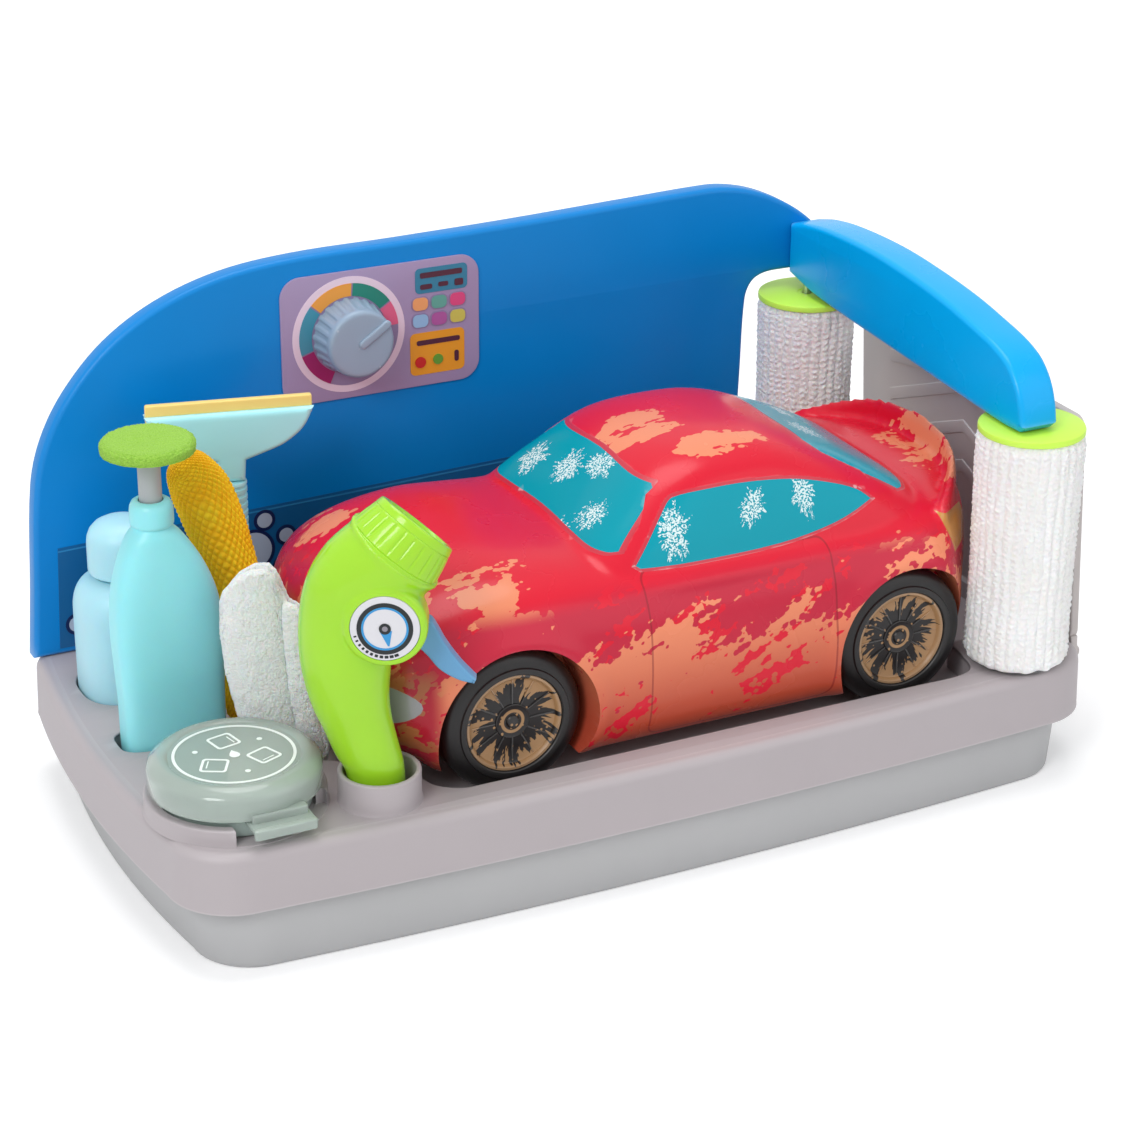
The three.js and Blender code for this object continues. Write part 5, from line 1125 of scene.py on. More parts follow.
net_yellow, tree, shader = shader_of("net_yellow")
wrap = node(tree, "UVMap", uv_map="wrap").outputs["UV"]
split = node(tree, "SeparateXYZ", ("Vector", wrap))
across_wave = sums(tree, "ADD", split.outputs["X"], split.outputs["Y"])
along_wave = sums(tree, "SUBTRACT", split.outputs["X"], split.outputs["Y"])
cells = sums(tree, "MULTIPLY", sums(tree, "ABSOLUTE", sums(tree, "SINE", across_wave)),
             sums(tree, "ABSOLUTE", sums(tree, "SINE", along_wave)))
spot = node(tree, "TexCoord").outputs["Object"]
thread = node(tree, "TexNoise", ("Vector", spot), Scale=1500.0, Detail=4.0).outputs["Fac"]
patch = node(tree, "TexNoise", ("Vector", spot), Scale=60.0, Detail=3.0).outputs["Fac"]
height = sums(tree, "ADD", cells, sums(tree, "MULTIPLY", thread, 0.8))
bumped(tree, shader, height, 0.6, 0.0006)
body_tone = mixed(tree, ramped(tree, patch, 0.3, 0.7), tone("FFBC08"), tone("FFD21E"))
# The net's lines are a darker yellow, deepest where the cells dip lowest: partly the thread's own colour and
# partly painted shade in the grooves.
tree.links.new(mixed(tree, ramped(tree, cells, 0.0, 0.35, 0.5, 0.0), body_tone, tone("F2A400")),
               shader.inputs["Base Color"])
set_on(shader, Roughness=0.6, Specular_IOR_Level=0.25)
sponge_shape = mapped_shape(sponge_surface, 190, 300, (24 * math.pi, 40 * math.pi))
sponge = piece("sponge_bolster", moved(sponge_shape, SLANT, shifted(-137.3, 25.4, 0)), "sponge", net_yellow,
               "sponge_yellow", "sponge", sharp=180)
print("sponge polygons:", len(sponge.data.polygons))

# %% [markdown]
# The towel is a white terry cloth, folded once over the top and once more upright, and stood in the
# tray. It is one continuous sheet: across its width it runs out, turns and comes back, seen from above;
# along its length it climbs, goes over the top and comes down again. The two rules together give every
# point, and the sheet then gets its thickness.

# %% Towel
TOWEL_LOW = 41.2
TOP_EDGE = [(-19, 109), (-18, 115), (-15.8, 121.6), (-10.1, 128.2), (-4.6, 131.2), (0.3, 131.4), (2.9, 128.6),
            (4.9, 122.5), (7, 117), (10, 116), (13, 113.6), (17, 108), (21, 100), (25, 92)]
LEFT_EDGE = [(41, -10.5), (56, -10.8), (70, -12), (80, -14.4), (91, -16.6), (104, -17.6), (135, -17.4)]
RIGHT_EDGE = [(41, 16.5), (54, 19.4), (62, 19.2), (76, 17.8), (104, 16.4), (135, 15.8)]


def read_off(rows, x):
    """A straight-line reading of a table of (place, value) rows."""
    for (x0, y0), (x1, y1) in zip(rows, rows[1:]):
        if x <= x1:
            return y0 + (y1 - y0) * max(0.0, (x - x0) / (x1 - x0))
    return rows[-1][1]


def plan_point(t):
    """Seen from above: a share along the width and how far the cloth stands out, -1 front to 1 rear."""
    if t < 0.44:
        share = t / 0.44
        lobe, start, end = (1.0, 0.0, 0.7) if share < 0.7 else (0.75, 0.7, 1.0)
        swell = math.sqrt(max(0.0, 1 - (2 * (share - start) / (end - start) - 1) ** 2))
        return share, -0.45 - 0.55 * lobe * swell
    if t < 0.56:
        angle = (t - 0.44) / 0.12 * math.pi
        return 1.0 + 0.07 * math.sin(angle), -0.45 * math.cos(angle)
    share = 1 - (t - 0.56) / 0.44
    return share, 0.45 + 0.4 * math.sin(share * math.pi)


def towel_surface(u, v):
    """Up the inner face, over the top in a small roll, down the outer face."""
    share, depth = plan_point(u)
    side = -1 if depth < 0 else 1
    guess = LEFT_EDGE[-1][1] + (RIGHT_EDGE[-1][1] - LEFT_EDGE[-1][1]) * share
    top = read_off(TOP_EDGE, guess) - (2.5 if depth > 0 else 0.0)
    if v < 0.46:
        height, off = TOWEL_LOW + (top - TOWEL_LOW) * v / 0.46, -1.05
    elif v < 0.54:
        angle = (v - 0.46) / 0.08 * math.pi
        height, off = top + 2.2 * math.sin(angle), -1.05 * math.cos(angle)
    else:
        height, off = TOWEL_LOW + (top - TOWEL_LOW) * (1 - v) / 0.46, 1.05
    left, right_end = read_off(LEFT_EDGE, height), read_off(RIGHT_EDGE, height)
    fat = 4.0 + 2.2 * min(1.0, max(0.0, (height - 54) / 12))
    x = left + (right_end - left) * share
    y = depth * fat + side * off
    rough = noise.fractal(Vector((x * 0.16, height * 0.13, y * 0.2)), 0.8, 2.0, 3)
    nub = noise.noise(Vector((x * 1.1, height * 1.1, y * 1.1)))
    return (x + 0.35 * rough + 0.2 * nub, y + 0.5 * rough + 0.5 * nub, max(height, TOWEL_LOW))


terry, tree, shader = shader_of("terry_white")
spot = node(tree, "TexCoord").outputs["Object"]
loops = node(tree, "TexVoronoi", ("Vector", spot), Scale=900.0).outputs["Distance"]
fuzz = node(tree, "TexNoise", ("Vector", spot), Scale=2400.0, Detail=4.0, Roughness=0.7).outputs["Fac"]
patch = node(tree, "TexNoise", ("Vector", spot), Scale=70.0, Detail=3.0).outputs["Fac"]
height = sums(tree, "ADD", sums(tree, "MULTIPLY", loops, -1.0), fuzz)
bumped(tree, shader, height, 0.8, 0.0009)
shade = mixed(tree, ramped(tree, patch, 0.35, 0.7), tone("FBFBFC"), tone("FFFFFF"))
# Painted shade: grey is mixed in where the loops' Voronoi distance is large, in the gaps between the loops.
tree.links.new(mixed(tree, ramped(tree, loops, 0.6, 1.0, 0.0, 0.12), shade, tone("E4E4EA")),
               shader.inputs["Base Color"])
set_on(shader, Roughness=0.95, Sheen_Weight=0.5, Subsurface_Weight=0.3, Subsurface_Scale=0.003)

towel_shape = moved(wrapped_shape(towel_surface, 180, 256, closed=False), SLANT, shifted(-142.3, -26.0, 0))
towel = piece("towel_folded", towel_shape, "towel", terry, "towel_white", "towel", sharp=180)
thickness = towel.modifiers.new("thickness", "SOLIDIFY")
thickness.thickness = 1.7 * MM
thickness.offset = 0.0

# %% [markdown]
# The ice box is a round tub with a milky lid. The lid's rim, shoulder and shallow dish are one turned
# profile; the pull tab is a small flat shape. Milky plastic lets some light through, so the shader passes
# about half of it, and a clear coat gives the highlights.

# %% Ice box and lid
milky, tree, shader = shader_of("milky")
moulded_into(tree, shader, Colour=tone("CCD8D1"), Cloud=0.05, Grain=0.08, Gloss=0.12, Rim=0.2)
set_on(shader, Transmission_Weight=0.55, IOR=1.2, Coat_Weight=0.6, Coat_Roughness=0.06)

lid_white = printed("lid_print", "EFF4F2")
box_milky = plastic("box_milky", "B9CBC4", gloss=0.35, grain=0.1, Transmission_Weight=0.25)
tub_rows = [(0, 53.5), (27.2, 53.5), (28.6, 53.9), (29.2, 55), (29.8, 63.6), (30.0, 64.3), (28.3, 64.3),
            (28.0, 63.8), (27.4, 56), (26.6, 55.3), (0, 55.3)]
ice_box = piece("ice_box_tub", turned_shape(tub_rows, 96, (*RING_AT, 0)), "ice_box", box_milky, "milky",
                "ice_box")
lid_rows = [(30.4, 70.0), (30.4, 62.3), (33.2, 62.3), (33.4, 62.6), (33.4, 69.6), (33.1, 71.0), (32.2, 72.2),
            (30.8, 73.2), (29.4, 74.2), (28.2, 74.6), (26.8, 74.6), (25.9, 74.3), (25.2, 73.7), (24.2, 73.6),
            (0, 73.6), (0, 72.0), (26.0, 72.0), (29.4, 71.0), (30.4, 70.0)]
tab_line = box_line(-177, -152, -99.4, -80, 3.2, 8)
tab = moved(flat_shape(tab_line, 2.0, 0.8, steps=3), shifted(0, 0, 60.8 - 0.3))
lip = moved(flat_shape(box_line(-177, -152, -99.5, -96.4, 1.4, 5), 4.2, 0.7, steps=3), shifted(0, 0, 59.6))
web = moved(flat_shape(box_line(-175.6, -153.4, -93.2, -88.6, 1.2, 4), 5.0, 0.6, steps=2),
            shifted(0, 0, 62.2))
lid = together(turned_shape(lid_rows, 96, (*RING_AT, 0)), tab, lip, web)
ice_lid = piece("ice_lid_shell", lid, "ice_lid", milky, "milky", "ice_lid", sharp=34)

# %% [markdown]
# The lid's print is a thin ring with three squares, three dots and a drop inside it. Each is a flat shape
# a tenth of a millimetre thick, which gives a crisper edge than a picture would.

# %% Lid print
LID_TOP, INK_THICK = 73.7, 0.12
print_parts = [flat_shape(round_line(0, 0, 23.6, 90), INK_THICK, 0.0, [round_line(0, 0, 22.4, 90)])]
for k in range(3):
    angle = math.radians(90 + 120 * k)
    turn = Matrix.Rotation(angle, 4, "Z")
    square = flat_shape(box_line(-5.2, 5.2, -5.2, 5.2, 1.6, 5), INK_THICK, 0.0,
                        [box_line(-4.2, 4.2, -4.2, 4.2, 0.9, 5)])
    square = together(square, flat_shape(box_line(-3.2, 2.4, -3.0, -2.5, 0.2, 2), INK_THICK))
    print_parts.append(moved(square, Matrix.Rotation(math.radians(12 + 20 * k), 4, "Z"), turn,
                             shifted(11.5 * math.cos(angle), 11.5 * math.sin(angle), 0)))
for k in range(3):
    angle = math.radians(30 + 120 * k)
    print_parts.append(moved(flat_shape(round_line(0, 0, 1.1, 20), INK_THICK),
                             shifted(15 * math.cos(angle), 15 * math.sin(angle), 0)))
print_parts.append(flat_shape(eased_line([(0, 3.2), (-2, -0.4), (-1.5, -2.2), (0, -2.8), (1.5, -2.2),
                                          (2, -0.4)], 6, 80), INK_THICK))
lid_print = piece("ice_lid_print", moved(together(*print_parts), shifted(*RING_AT, LID_TOP)), "ice_lid",
                  lid_white, "milky")
print("box and lid:", ice_box.name, ice_lid.name, lid_print.name)

# %% [markdown]
# The sprayer is a bent green handle that swells towards its head, with a ribbed nozzle, a round boss that
# carries a gauge, and a blue trigger. Its handle is a tube of tilted rings. Every ring is a row: how far
# it leans over, how high it is, how wide, and how far it is tilted.

# %% Sprayer handle
SPRAY_AT = (-118.6, -79.6)
SPRAY_ROWS = [(-1.2, 41.2, 0.0, 0), (-1.2, 41.1, 9.4, 0), (-1.2, 42, 10.1, 0), (-1.4, 52, 10.8, 0),
              (-2.4, 66, 11.3, 4), (-5.4, 75, 12.3, 11), (-8.6, 86, 13.3, 12), (-11.2, 97, 15.2, 7),
              (-12.2, 111, 17.2, 2), (-12, 125, 17.8, -5), (-9, 138, 18.6, -22), (-3, 147, 19.3, -33),
              (5.1, 154, 19.5, -40), (7.6, 157, 18.8, -40), (7.7, 157.1, 0, -40)]
NOZZLE_AT, NOZZLE_OUT = (5.2, 154.1), (0.64, 0.768)
BOSS_AT = (3.8, 132.6)


def at_spray(bm):
    return moved(bm, SLANT, shifted(*SPRAY_AT, 0))


def handle_surface(u, v):
    x, z, radius, tilt = table_at(SPRAY_ROWS, v)
    radius, tilt = max(radius, 0.0), math.radians(tilt)
    angle = u * 2 * math.pi
    out, side = radius * math.cos(angle), radius * math.sin(angle) * 0.86
    return (x + out * math.cos(tilt), side, z + out * math.sin(tilt))


handle = wrapped_shape(handle_surface, 96, 150)


def melted(bm, voxel, passes=6, factor=0.5):
    """Overlapping shapes fused into one skin: closed, remeshed on a fine grid, then smoothed."""
    mesh = bpy.data.meshes.new("melt")
    bmesh.ops.holes_fill(bm, edges=[edge for edge in bm.edges if edge.is_boundary], sides=0)
    bmesh.ops.recalc_face_normals(bm, faces=bm.faces)
    bm.to_mesh(mesh)
    bm.free()
    obj = bpy.data.objects.new("melt", mesh)
    scene.collection.objects.link(obj)
    fuse = obj.modifiers.new("fuse", "REMESH")
    fuse.mode = "VOXEL"
    fuse.voxel_size = voxel
    fuse.adaptivity = 0.0
    soften = obj.modifiers.new("soften", "SMOOTH")
    soften.factor = factor
    soften.iterations = passes
    out = bmesh.new()
    out.from_object(obj, bpy.context.evaluated_depsgraph_get())
    bpy.data.objects.remove(obj)
    bpy.data.meshes.remove(mesh)
    return out


boss_front = turned_shape([(0, 4.0), (15.3, 4.0), (15.8, 5.0), (15.9, 8), (15.9, 15.4), (15.5, 16.8),
                           (14.6, 17.6), (0, 17.6)],
                          72, (BOSS_AT[0], 0, BOSS_AT[1]), "Y")
boss_front = moved(boss_front, MIRROR_Y)
boss_back = turned_shape([(0, 4.4), (13.3, 4.4), (13.3, 9.0), (12.4, 10), (0, 10)], 72,
                         (BOSS_AT[0], 0, BOSS_AT[1]), "Y")
body_mesh = melted(together(handle, boss_front, boss_back), 0.75, 7)
seat = turned_shape([(0, 16.3), (13.1, 16.3), (13.1, 22), (0, 22)], 72, (BOSS_AT[0], 0, BOSS_AT[1]), "Y")
seat = moved(seat, MIRROR_Y)
room = moved(flat_shape(box_line(4.6, 24, 100, 137, 1.0, 4), 9.6), STAND_UP)
body_mesh = cut_by(body_mesh, seat, room)
sprayer = piece("sprayer_handle", at_spray(body_mesh), "sprayer", sprayer_green, "sprayer_green",
                "sprayer_body", sharp=50)
print("sprayer polygons:", len(sprayer.data.polygons))

# %% [markdown]
# The nozzle is a short drum with flat ribs, cut by two fine grooves. Seen end on, it is a shallow cup.
# The ribs again come from letting the radius rise and fall round the axis, but only between the
# grooves.

# %% Nozzle
NOZZLE_ROWS = [(0.5, 18.4), (0.5, 19.2), (0.9, 19.5), (2.4, 19.4), (2.7, 19.0), (3.0, 19.3), (8.0, 18.3),
               (12.6, 17.1), (12.9, 16.8), (13.2, 17.0), (15.2, 16.5), (15.8, 16.1), (16.0, 15.3),
               (15.9, 13.4), (15.2, 12.8), (12.6, 12.0), (12.3, 11.4), (12.2, 6), (12.2, 0)]
FIRST_TIP, LAST_TIP = 0.10, 0.30


def nozzle_surface(u, v):
    spot = v * (len(NOZZLE_ROWS) - 1)
    i = min(int(spot), len(NOZZLE_ROWS) - 2)
    t = spot - i
    out = NOZZLE_ROWS[i][0] * (1 - t) + NOZZLE_ROWS[i + 1][0] * t
    radius = NOZZLE_ROWS[i][1] * (1 - t) + NOZZLE_ROWS[i + 1][1] * t
    if 3.0 <= out <= 12.6 and radius > 15:
        flank = min(1.0, (out - 3.0) / 0.9, (12.6 - out) / 0.9)
        radius -= 0.42 * flank * max(0.0, math.cos(u * 24 * 2 * math.pi)) ** 6
    angle = u * 2 * math.pi
    a, b = radius * math.cos(angle), radius * math.sin(angle) * 0.86
    (x0, z0), (dx, dz) = NOZZLE_AT, NOZZLE_OUT
    tip = FIRST_TIP + (LAST_TIP - FIRST_TIP) * out / 16.0
    drift = FIRST_TIP * out * 0.5 + (LAST_TIP - FIRST_TIP) * out * out / 32.0
    ahead = out - tip * b
    return (x0 + dx * ahead + dz * a, drift + b, z0 + dz * ahead - dx * a)


nozzle = piece("sprayer_nozzle_drum", at_spray(wrapped_shape(nozzle_surface, 288, 108)), "sprayer",
               sprayer_green, "sprayer_green", "sprayer_nozzle", sharp=32)

# %% [markdown]
# The gauge is a shallow disc with printed rings, a needle and eleven marks that grow as they go round. The
# trigger is a flat bent lever, with a round hub where its pin goes through.

# %% Gauge, trigger and pin
gauge_inks = [printed("gauge_white", "D6D5DA"), printed("gauge_black", "10181C"),
              printed("gauge_blue", "2C8FCB"), printed("gauge_hub", "8A8690")]
GAUGE_FACE = -16.3


def on_gauge(line, number, lift, holes=()):
    """A printed patch in front of the gauge's face."""
    bm = moved(flat_shape(line, INK_THICK, 0.0, holes), STAND_UP,
               shifted(BOSS_AT[0], GAUGE_FACE - lift, BOSS_AT[1]))
    return tinted(bm, number)


dial = [tinted(moved(flat_shape(round_line(0, 0, 12.9, 72), 1.4, 0.3), STAND_UP,
                     shifted(BOSS_AT[0], GAUGE_FACE - 0.7, BOSS_AT[1])), 0)]
dial.append(on_gauge(round_line(0, 0, 10.4, 72), 1, 1.44, holes=[round_line(0, 0, 8.7, 72)]))
dial.append(on_gauge(round_line(0, 0, 8.7, 72), 2, 1.44, holes=[round_line(0, 0, 7.9, 72)]))
dial.append(on_gauge([(-1.9, -1.2), (1.0, -7.0), (1.6, -7.0), (2.6, -0.8)], 2, 1.46))
dial.append(on_gauge(round_line(0, 0, 2.2, 36), 1, 1.6, holes=[round_line(0, 0, 1.1, 36)]))
dial.append(on_gauge(round_line(0, 0, 1.1, 24), 3, 1.5))
for k in range(11):
    angle, half = math.radians(196 + 9.5 * k), 0.3 + 0.05 * k
    mark = moved(flat_shape(box_line(10.9, 12.0, -half, half, 0.15, 2), INK_THICK),
                 Matrix.Rotation(angle, 4, "Z"), STAND_UP, shifted(BOSS_AT[0], GAUGE_FACE - 1.44, BOSS_AT[1]))
    dial.append(tinted(mark, 1))
gauge = piece("sprayer_gauge_dial", at_spray(together(*dial)), "sprayer", gauge_inks, "gauge_white",
              "sprayer_gauge")
TIP = [(14, 129.8), (19.4, 129.2), (22.1, 125.6), (25, 119.8), (30.5, 111.6), (36.6, 104.6), (35.8, 102.9),
       (29.7, 104.6), (23, 108.8), (18.2, 114.8), (13.5, 119.5), (10, 122.5)]
lever = moved(flat_shape(eased_line(TIP, 6, 60), 6.8, 1.2, steps=4), STAND_UP)
hub = turned_shape([(1.9, -3.4), (4.1, -3.4), (4.4, -3.1), (4.4, 3.1), (4.1, 3.4), (1.9, 3.4)], 40,
                   (11.5, 0, 125.6), "Y")
trigger = piece("sprayer_trigger_lever", at_spray(together(lever, hub)), "trigger", trigger_blue,
                "trigger_blue", "sprayer_trigger", sharp=36)
plain(steel, "sprayer_trigger_pin")
print("sprayer pieces:", nozzle.name, gauge.name, trigger.name)

# %% [markdown]
# The car is one soft shell, so it should look melted together rather than assembled. Its body is a
# wrapped shape through nineteen cross sections, its cabin a stack of rounded plans, its tail a thin raised
# lip. The three overlap and are fused on a fine grid; the wheel arches are then flared and cut.

# %% Car shell
MID = -10.0
WHEEL_X, AXLE_Z = (-61.3, 115.6), 71.1
BODY_ROWS = [(-120.1, 0.5, 83, 84), (-119.9, 20, 74, 93), (-119.4, 33, 69, 98.6), (-118, 46, 64, 104),
             (-113, 57, 59.5, 112), (-102, 67, 56, 119.5), (-85, 72, 44, 126.5), (-60, 74, 40, 130),
             (-38, 74, 40, 128.8), (-20, 74, 40, 127.4), (20, 73.4, 40, 127), (70, 73.8, 40, 127.6),
             (115, 74, 40, 129.4), (134, 71.5, 44, 129.4), (146, 61.5, 48, 128.6), (154, 52.5, 56, 128),
             (160, 43, 64, 127), (162.6, 30, 74, 122), (163, 0.5, 98, 99)]
CABIN_ROWS = [(112, -33, 148, 0.5, 6), (112.1, -33, 148, 63.5, 6), (121, -26.5, 141, 61, 6),
              (130, -17, 130, 57.6, 5.4), (140, -4.6, 112, 52.5, 4.6), (148, 5.6, 94, 47.4, 4),
              (153, 13.6, 83, 42, 3.4), (156.6, 24, 71, 33, 3), (158.6, 38, 56, 18, 2.6),
              (158.9, 46, 48, 0.5, 2)]
TAIL_ROWS = [(139, -72, 122), (141, -69, 125), (152, -57, 131.5), (160.5, -44, 136.5), (165, -28, 139),
             (166.5, -10, 139.5), (165, 8, 139), (160.5, 24, 136.5), (152, 37, 131.5), (141, 49, 125),
             (139, 52, 122)]
TAIL_ROOT, LIP_HALF, SWEEP_FROM = 112, 2.2, 70.0


def body_surface(u, v):
    x, half, low, high = table_at(BODY_ROWS, v)
    half, middle, tall = max(half, 0.3), (low + high) / 2, max((high - low) / 2, 0.3)
    y, z = super_round(u * 2 * math.pi, half, tall, 3.7)
    if z > 0:
        y *= 1 - 0.04 * z / tall
    return (x, MID + y, middle + z)


def cabin_surface(u, v):
    z, x_from, x_to, half, power = table_at(CABIN_ROWS, v)
    x, y = super_round(u * 2 * math.pi, (x_to - x_from) / 2, half, max(power, 2))
    return ((x_from + x_to) / 2 + x, MID + y, z)


def tail_surface(u, v):
    """A thin swept lip that rises off the tail."""
    x, y, high = table_at(TAIL_ROWS, v)
    c, s = math.cos(u * 2 * math.pi), math.sin(u * 2 * math.pi)
    inward = Vector((SWEEP_FROM - x, MID - y)).normalized() if abs(y - MID) > 1 else Vector((-1, 0))
    out, rise = LIP_HALF * c, (high - TAIL_ROOT) / 2 * s
    lean = 0.5 * (s + 1)
    return (x - LIP_HALF - out * inward.x - lean, y - out * inward.y,
            TAIL_ROOT + (high - TAIL_ROOT) / 2 + rise)


hull = wrapped_shape(body_surface, 110, 150)
cabin = wrapped_shape(cabin_surface, 110, 60)
tail = wrapped_shape(tail_surface, 24, 80)
shell = melted(together(hull, cabin, tail), 1.7, 6, 0.5)
print("fused shell faces:", len(shell.faces))
for x in WHEEL_X:
    for vert in shell.verts:
        p = vert.co
        side = 1 if p.y > MID else -1
        away = abs(p.y - MID)
        reach = math.hypot(p.x - x, p.z - AXLE_Z)
        if away > 55 and 30 < reach < 47:
            lift = math.exp(-((reach - 35.0) / 4.2) ** 2)
            p.y = MID + side * min(75.2, away + 1.5 * lift)
arch_cut = []
for x in WHEEL_X:
    for side in (-1, 1):
        arch = turned_shape([(0, 46.5), (33.4, 46.5), (33.4, 90), (0, 90)], 96, (x, 0, AXLE_Z), "Y")
        if side < 0:
            arch = moved(arch, MIRROR_Y)
        arch_cut.append(moved(arch, shifted(0, MID, 0)))
sill = moved(flat_shape(box_line(-130, 180, -100, 80, 2, 2), 40), shifted(0, 0, 32.2))
shell = cut_by(shell, sill, *arch_cut)
bmesh.ops.remove_doubles(shell, verts=shell.verts, dist=0.02)
print("cut shell faces:", len(shell.faces))

# %% [markdown]
# The windows and lamps are parts of the same skin, so none of them is modelled by itself. A prism of the
# window's outline is pushed through the shell: what it shares with the shell is the window, and what is
# left has a hole that fits. A narrow ring of the same outline becomes the painted seal.

# %% Windows and lamps out of the shell
SIDE_WINDOW = [(-6, 123), (-3, 121), (20, 120.4), (60, 121), (86, 124.6), (107, 131), (100, 136.5),
               (86, 141.6), (70, 145.2), (50, 147), (30, 147), (17, 145.6), (12.5, 142.5)]
SCREEN = [(-54, 127.4), (-50, 126.4), (-30, 128), (0, 129), (30, 128), (50, 126.4), (54, 127.4), (43, 146.6),
          (39, 149.4), (0, 151.6), (-39, 149.4), (-43, 146.6)]
SCREEN_SIDE = [(-24, 118), (-14, 118), (-9.5, 121), (8.5, 145), (26, 156), (-10, 156), (-24, 130)]
REAR = [(-51, 130), (-47, 128.8), (-25, 130), (0, 130.8), (25, 130), (47, 128.8), (51, 130), (42, 148),
        (38, 150), (0, 152.5), (-38, 150), (-42, 148)]
REAR_SIDE = [(80, 156), (92, 147), (106, 139.5), (114, 131), (120, 126), (134, 126), (134, 156)]
TAIL_LAMP = [(134, 122), (142, 104), (170, 104), (170, 114)]
SEAL = 1.1


def copied(bm):
    return together(bm.copy())


def end_prism(line, side_line, inset):
    """The wedge under an outline seen from the end and one seen from the side."""
    seen = narrowed([(y + MID, z) for y, z in eased_line(line, 4, 30)], inset)
    wedge = side_slab(seen, -70, 170, 0.0)
    return cut_by(wedge, upright_slab(side_line, -90, 70, 0.0), operation="INTERSECT")


def side_prism(line, side, inset):
    seen = narrowed(eased_line(line, 4, 30), inset)
    near, far = sorted((MID + side * 38, MID + side * 90))
    return upright_slab(seen, near, far, 0.0)


prisms = {"car_windscreen": lambda inset: end_prism(SCREEN, SCREEN_SIDE, inset),
          "car_rear_window": lambda inset: end_prism(REAR, REAR_SIDE, inset),
          "car_side_window_near": lambda inset: side_prism(SIDE_WINDOW, -1, inset),
          "car_side_window_far": lambda inset: side_prism(SIDE_WINDOW, 1, inset)}
panes, cutters = {}, []
for name, prism in prisms.items():
    whole = cut_by(copied(shell), prism(0.0), operation="INTERSECT")
    pane = cut_by(copied(whole), prism(SEAL), operation="INTERSECT")
    band = cut_by(whole, prism(SEAL))
    panes[name] = together(tinted(pane, 0), tinted(band, 1))
    cutters.append(prism(0.0))
for name, side in (("near", -1), ("far", 1)):
    near, far = sorted((MID + side * 46, MID + side * 90))
    round_lamp = [(MID + side * (56 + 12 * math.cos(k * math.pi / 12)), 86 + 8 * math.sin(k * math.pi / 12))
                  for k in range(24)]
    for title, slab, line, start, end in (("car_tail_lamp_", upright_slab, TAIL_LAMP, near, far),
                                          ("car_head_lamp_", side_slab, round_lamp, -140, -96)):
        panes[title + name] = cut_by(copied(shell), slab(line, start, end, 0.0), operation="INTERSECT")
        cutters.append(slab(line, start, end, 0.0))
shell = cut_by(shell, *cutters)
print({name: len(bm.faces) for name, bm in panes.items()}, "shell:", len(shell.faces))

# %% [markdown]
# The paint is the car's whole character: bright red with dried mud thrown over it, heavy low down and
# round the wheels and thin above, and darker towards the bottom. The mud is a threshold on stretched
# noise plus a number that says how muddy each place is. That number comes from the height, from the
# distance to the wheels and from a few soft spots. A second threshold inside the mud leaves dark torn
# patches.

# %% Group for torn splashes
splash, g_in, g_out = new_group(
    "torn_splash", [("Vector", "Vector", None), ("Level", "Float", 0.5), ("Seed", "Float", 0.0)],
    [("Mask", "Float")])
shift = node(splash, "CombineXYZ", ("Z", g_in.outputs["Seed"]))
place = node(splash, "VectorMath", ("Vector", g_in.outputs["Vector"]), mode="ADD")
splash.links.new(shift.outputs[0], place.inputs[1])
streaks = node(splash, "Mapping", ("Vector", place.outputs[0]), vector_type="TEXTURE",
               Rotation=(0, math.radians(-27), 0), Scale=(0.042, 0.011, 0.0125))
broad = node(splash, "TexNoise", ("Vector", streaks.outputs[0]), Scale=1.0, Detail=2.0,
             Roughness=0.45).outputs["Fac"]
drops = node(splash, "TexVoronoi", ("Vector", place.outputs[0]), Scale=300.0,
             feature="F1").outputs["Distance"]
torn = node(splash, "Mapping", ("Vector", place.outputs[0]), vector_type="TEXTURE",
            Rotation=(0, math.radians(-27), 0), Scale=(0.0105, 0.0028, 0.0034))
fine = node(splash, "TexNoise", ("Vector", torn.outputs[0]), Scale=1.0, Detail=2.0).outputs["Fac"]
total = sums(splash, "MULTIPLY_ADD", broad, 0.62, sums(splash, "MULTIPLY", fine, 0.30))
total = sums(splash, "ADD", total, sums(splash, "MULTIPLY", sums(splash, "SUBTRACT", 0.6, drops), 0.14))
gap = sums(splash, "SUBTRACT", sums(splash, "ADD", total, g_in.outputs["Level"]), 1.0)
splash.links.new(ramped(splash, gap, -0.006, 0.006), g_out.inputs["Mask"])

# %% [markdown]
# A splat is a disc whose radius changes with the direction. The direction, as a vector of length one,
# is scaled up and read by a noise, so that the noise gives long and short arms.

# %% Group for a star-shaped splat
splat, g_in, g_out = new_group(
    "star_splat", [("Vector", "Vector", None), ("Radius", "Float", 10.0), ("Seed", "Float", 0.0),
                   ("Arms", "Float", 3.2)],
    [("Mask", "Float")])
far = node(splat, "VectorMath", ("Vector", g_in.outputs["Vector"]), mode="LENGTH").outputs["Value"]
share = sums(splat, "DIVIDE", far, g_in.outputs["Radius"])
unit = node(splat, "VectorMath", ("Vector", g_in.outputs["Vector"]), mode="NORMALIZE")
spun = node(splat, "VectorMath", ("Vector", unit.outputs[0]), mode="SCALE")
splat.links.new(g_in.outputs["Arms"], spun.inputs["Scale"])
lifted = node(splat, "CombineXYZ", ("Z", sums(splat, "ADD", sums(splat, "MULTIPLY", share, 0.9),
                                              g_in.outputs["Seed"])))
at = node(splat, "VectorMath", ("Vector", spun.outputs[0]), mode="ADD")
splat.links.new(lifted.outputs[0], at.inputs[1])
arm = node(splat, "TexNoise", ("Vector", at.outputs[0]), Scale=1.6, Detail=3.0, Roughness=0.6).outputs["Fac"]
reach = sums(splat, "SUBTRACT", sums(splat, "MULTIPLY", arm, 2.5), 0.42)
splat.links.new(ramped(splat, sums(splat, "SUBTRACT", reach, share), -0.02, 0.02), g_out.inputs["Mask"])
print("groups:", splash.name, splat.name)

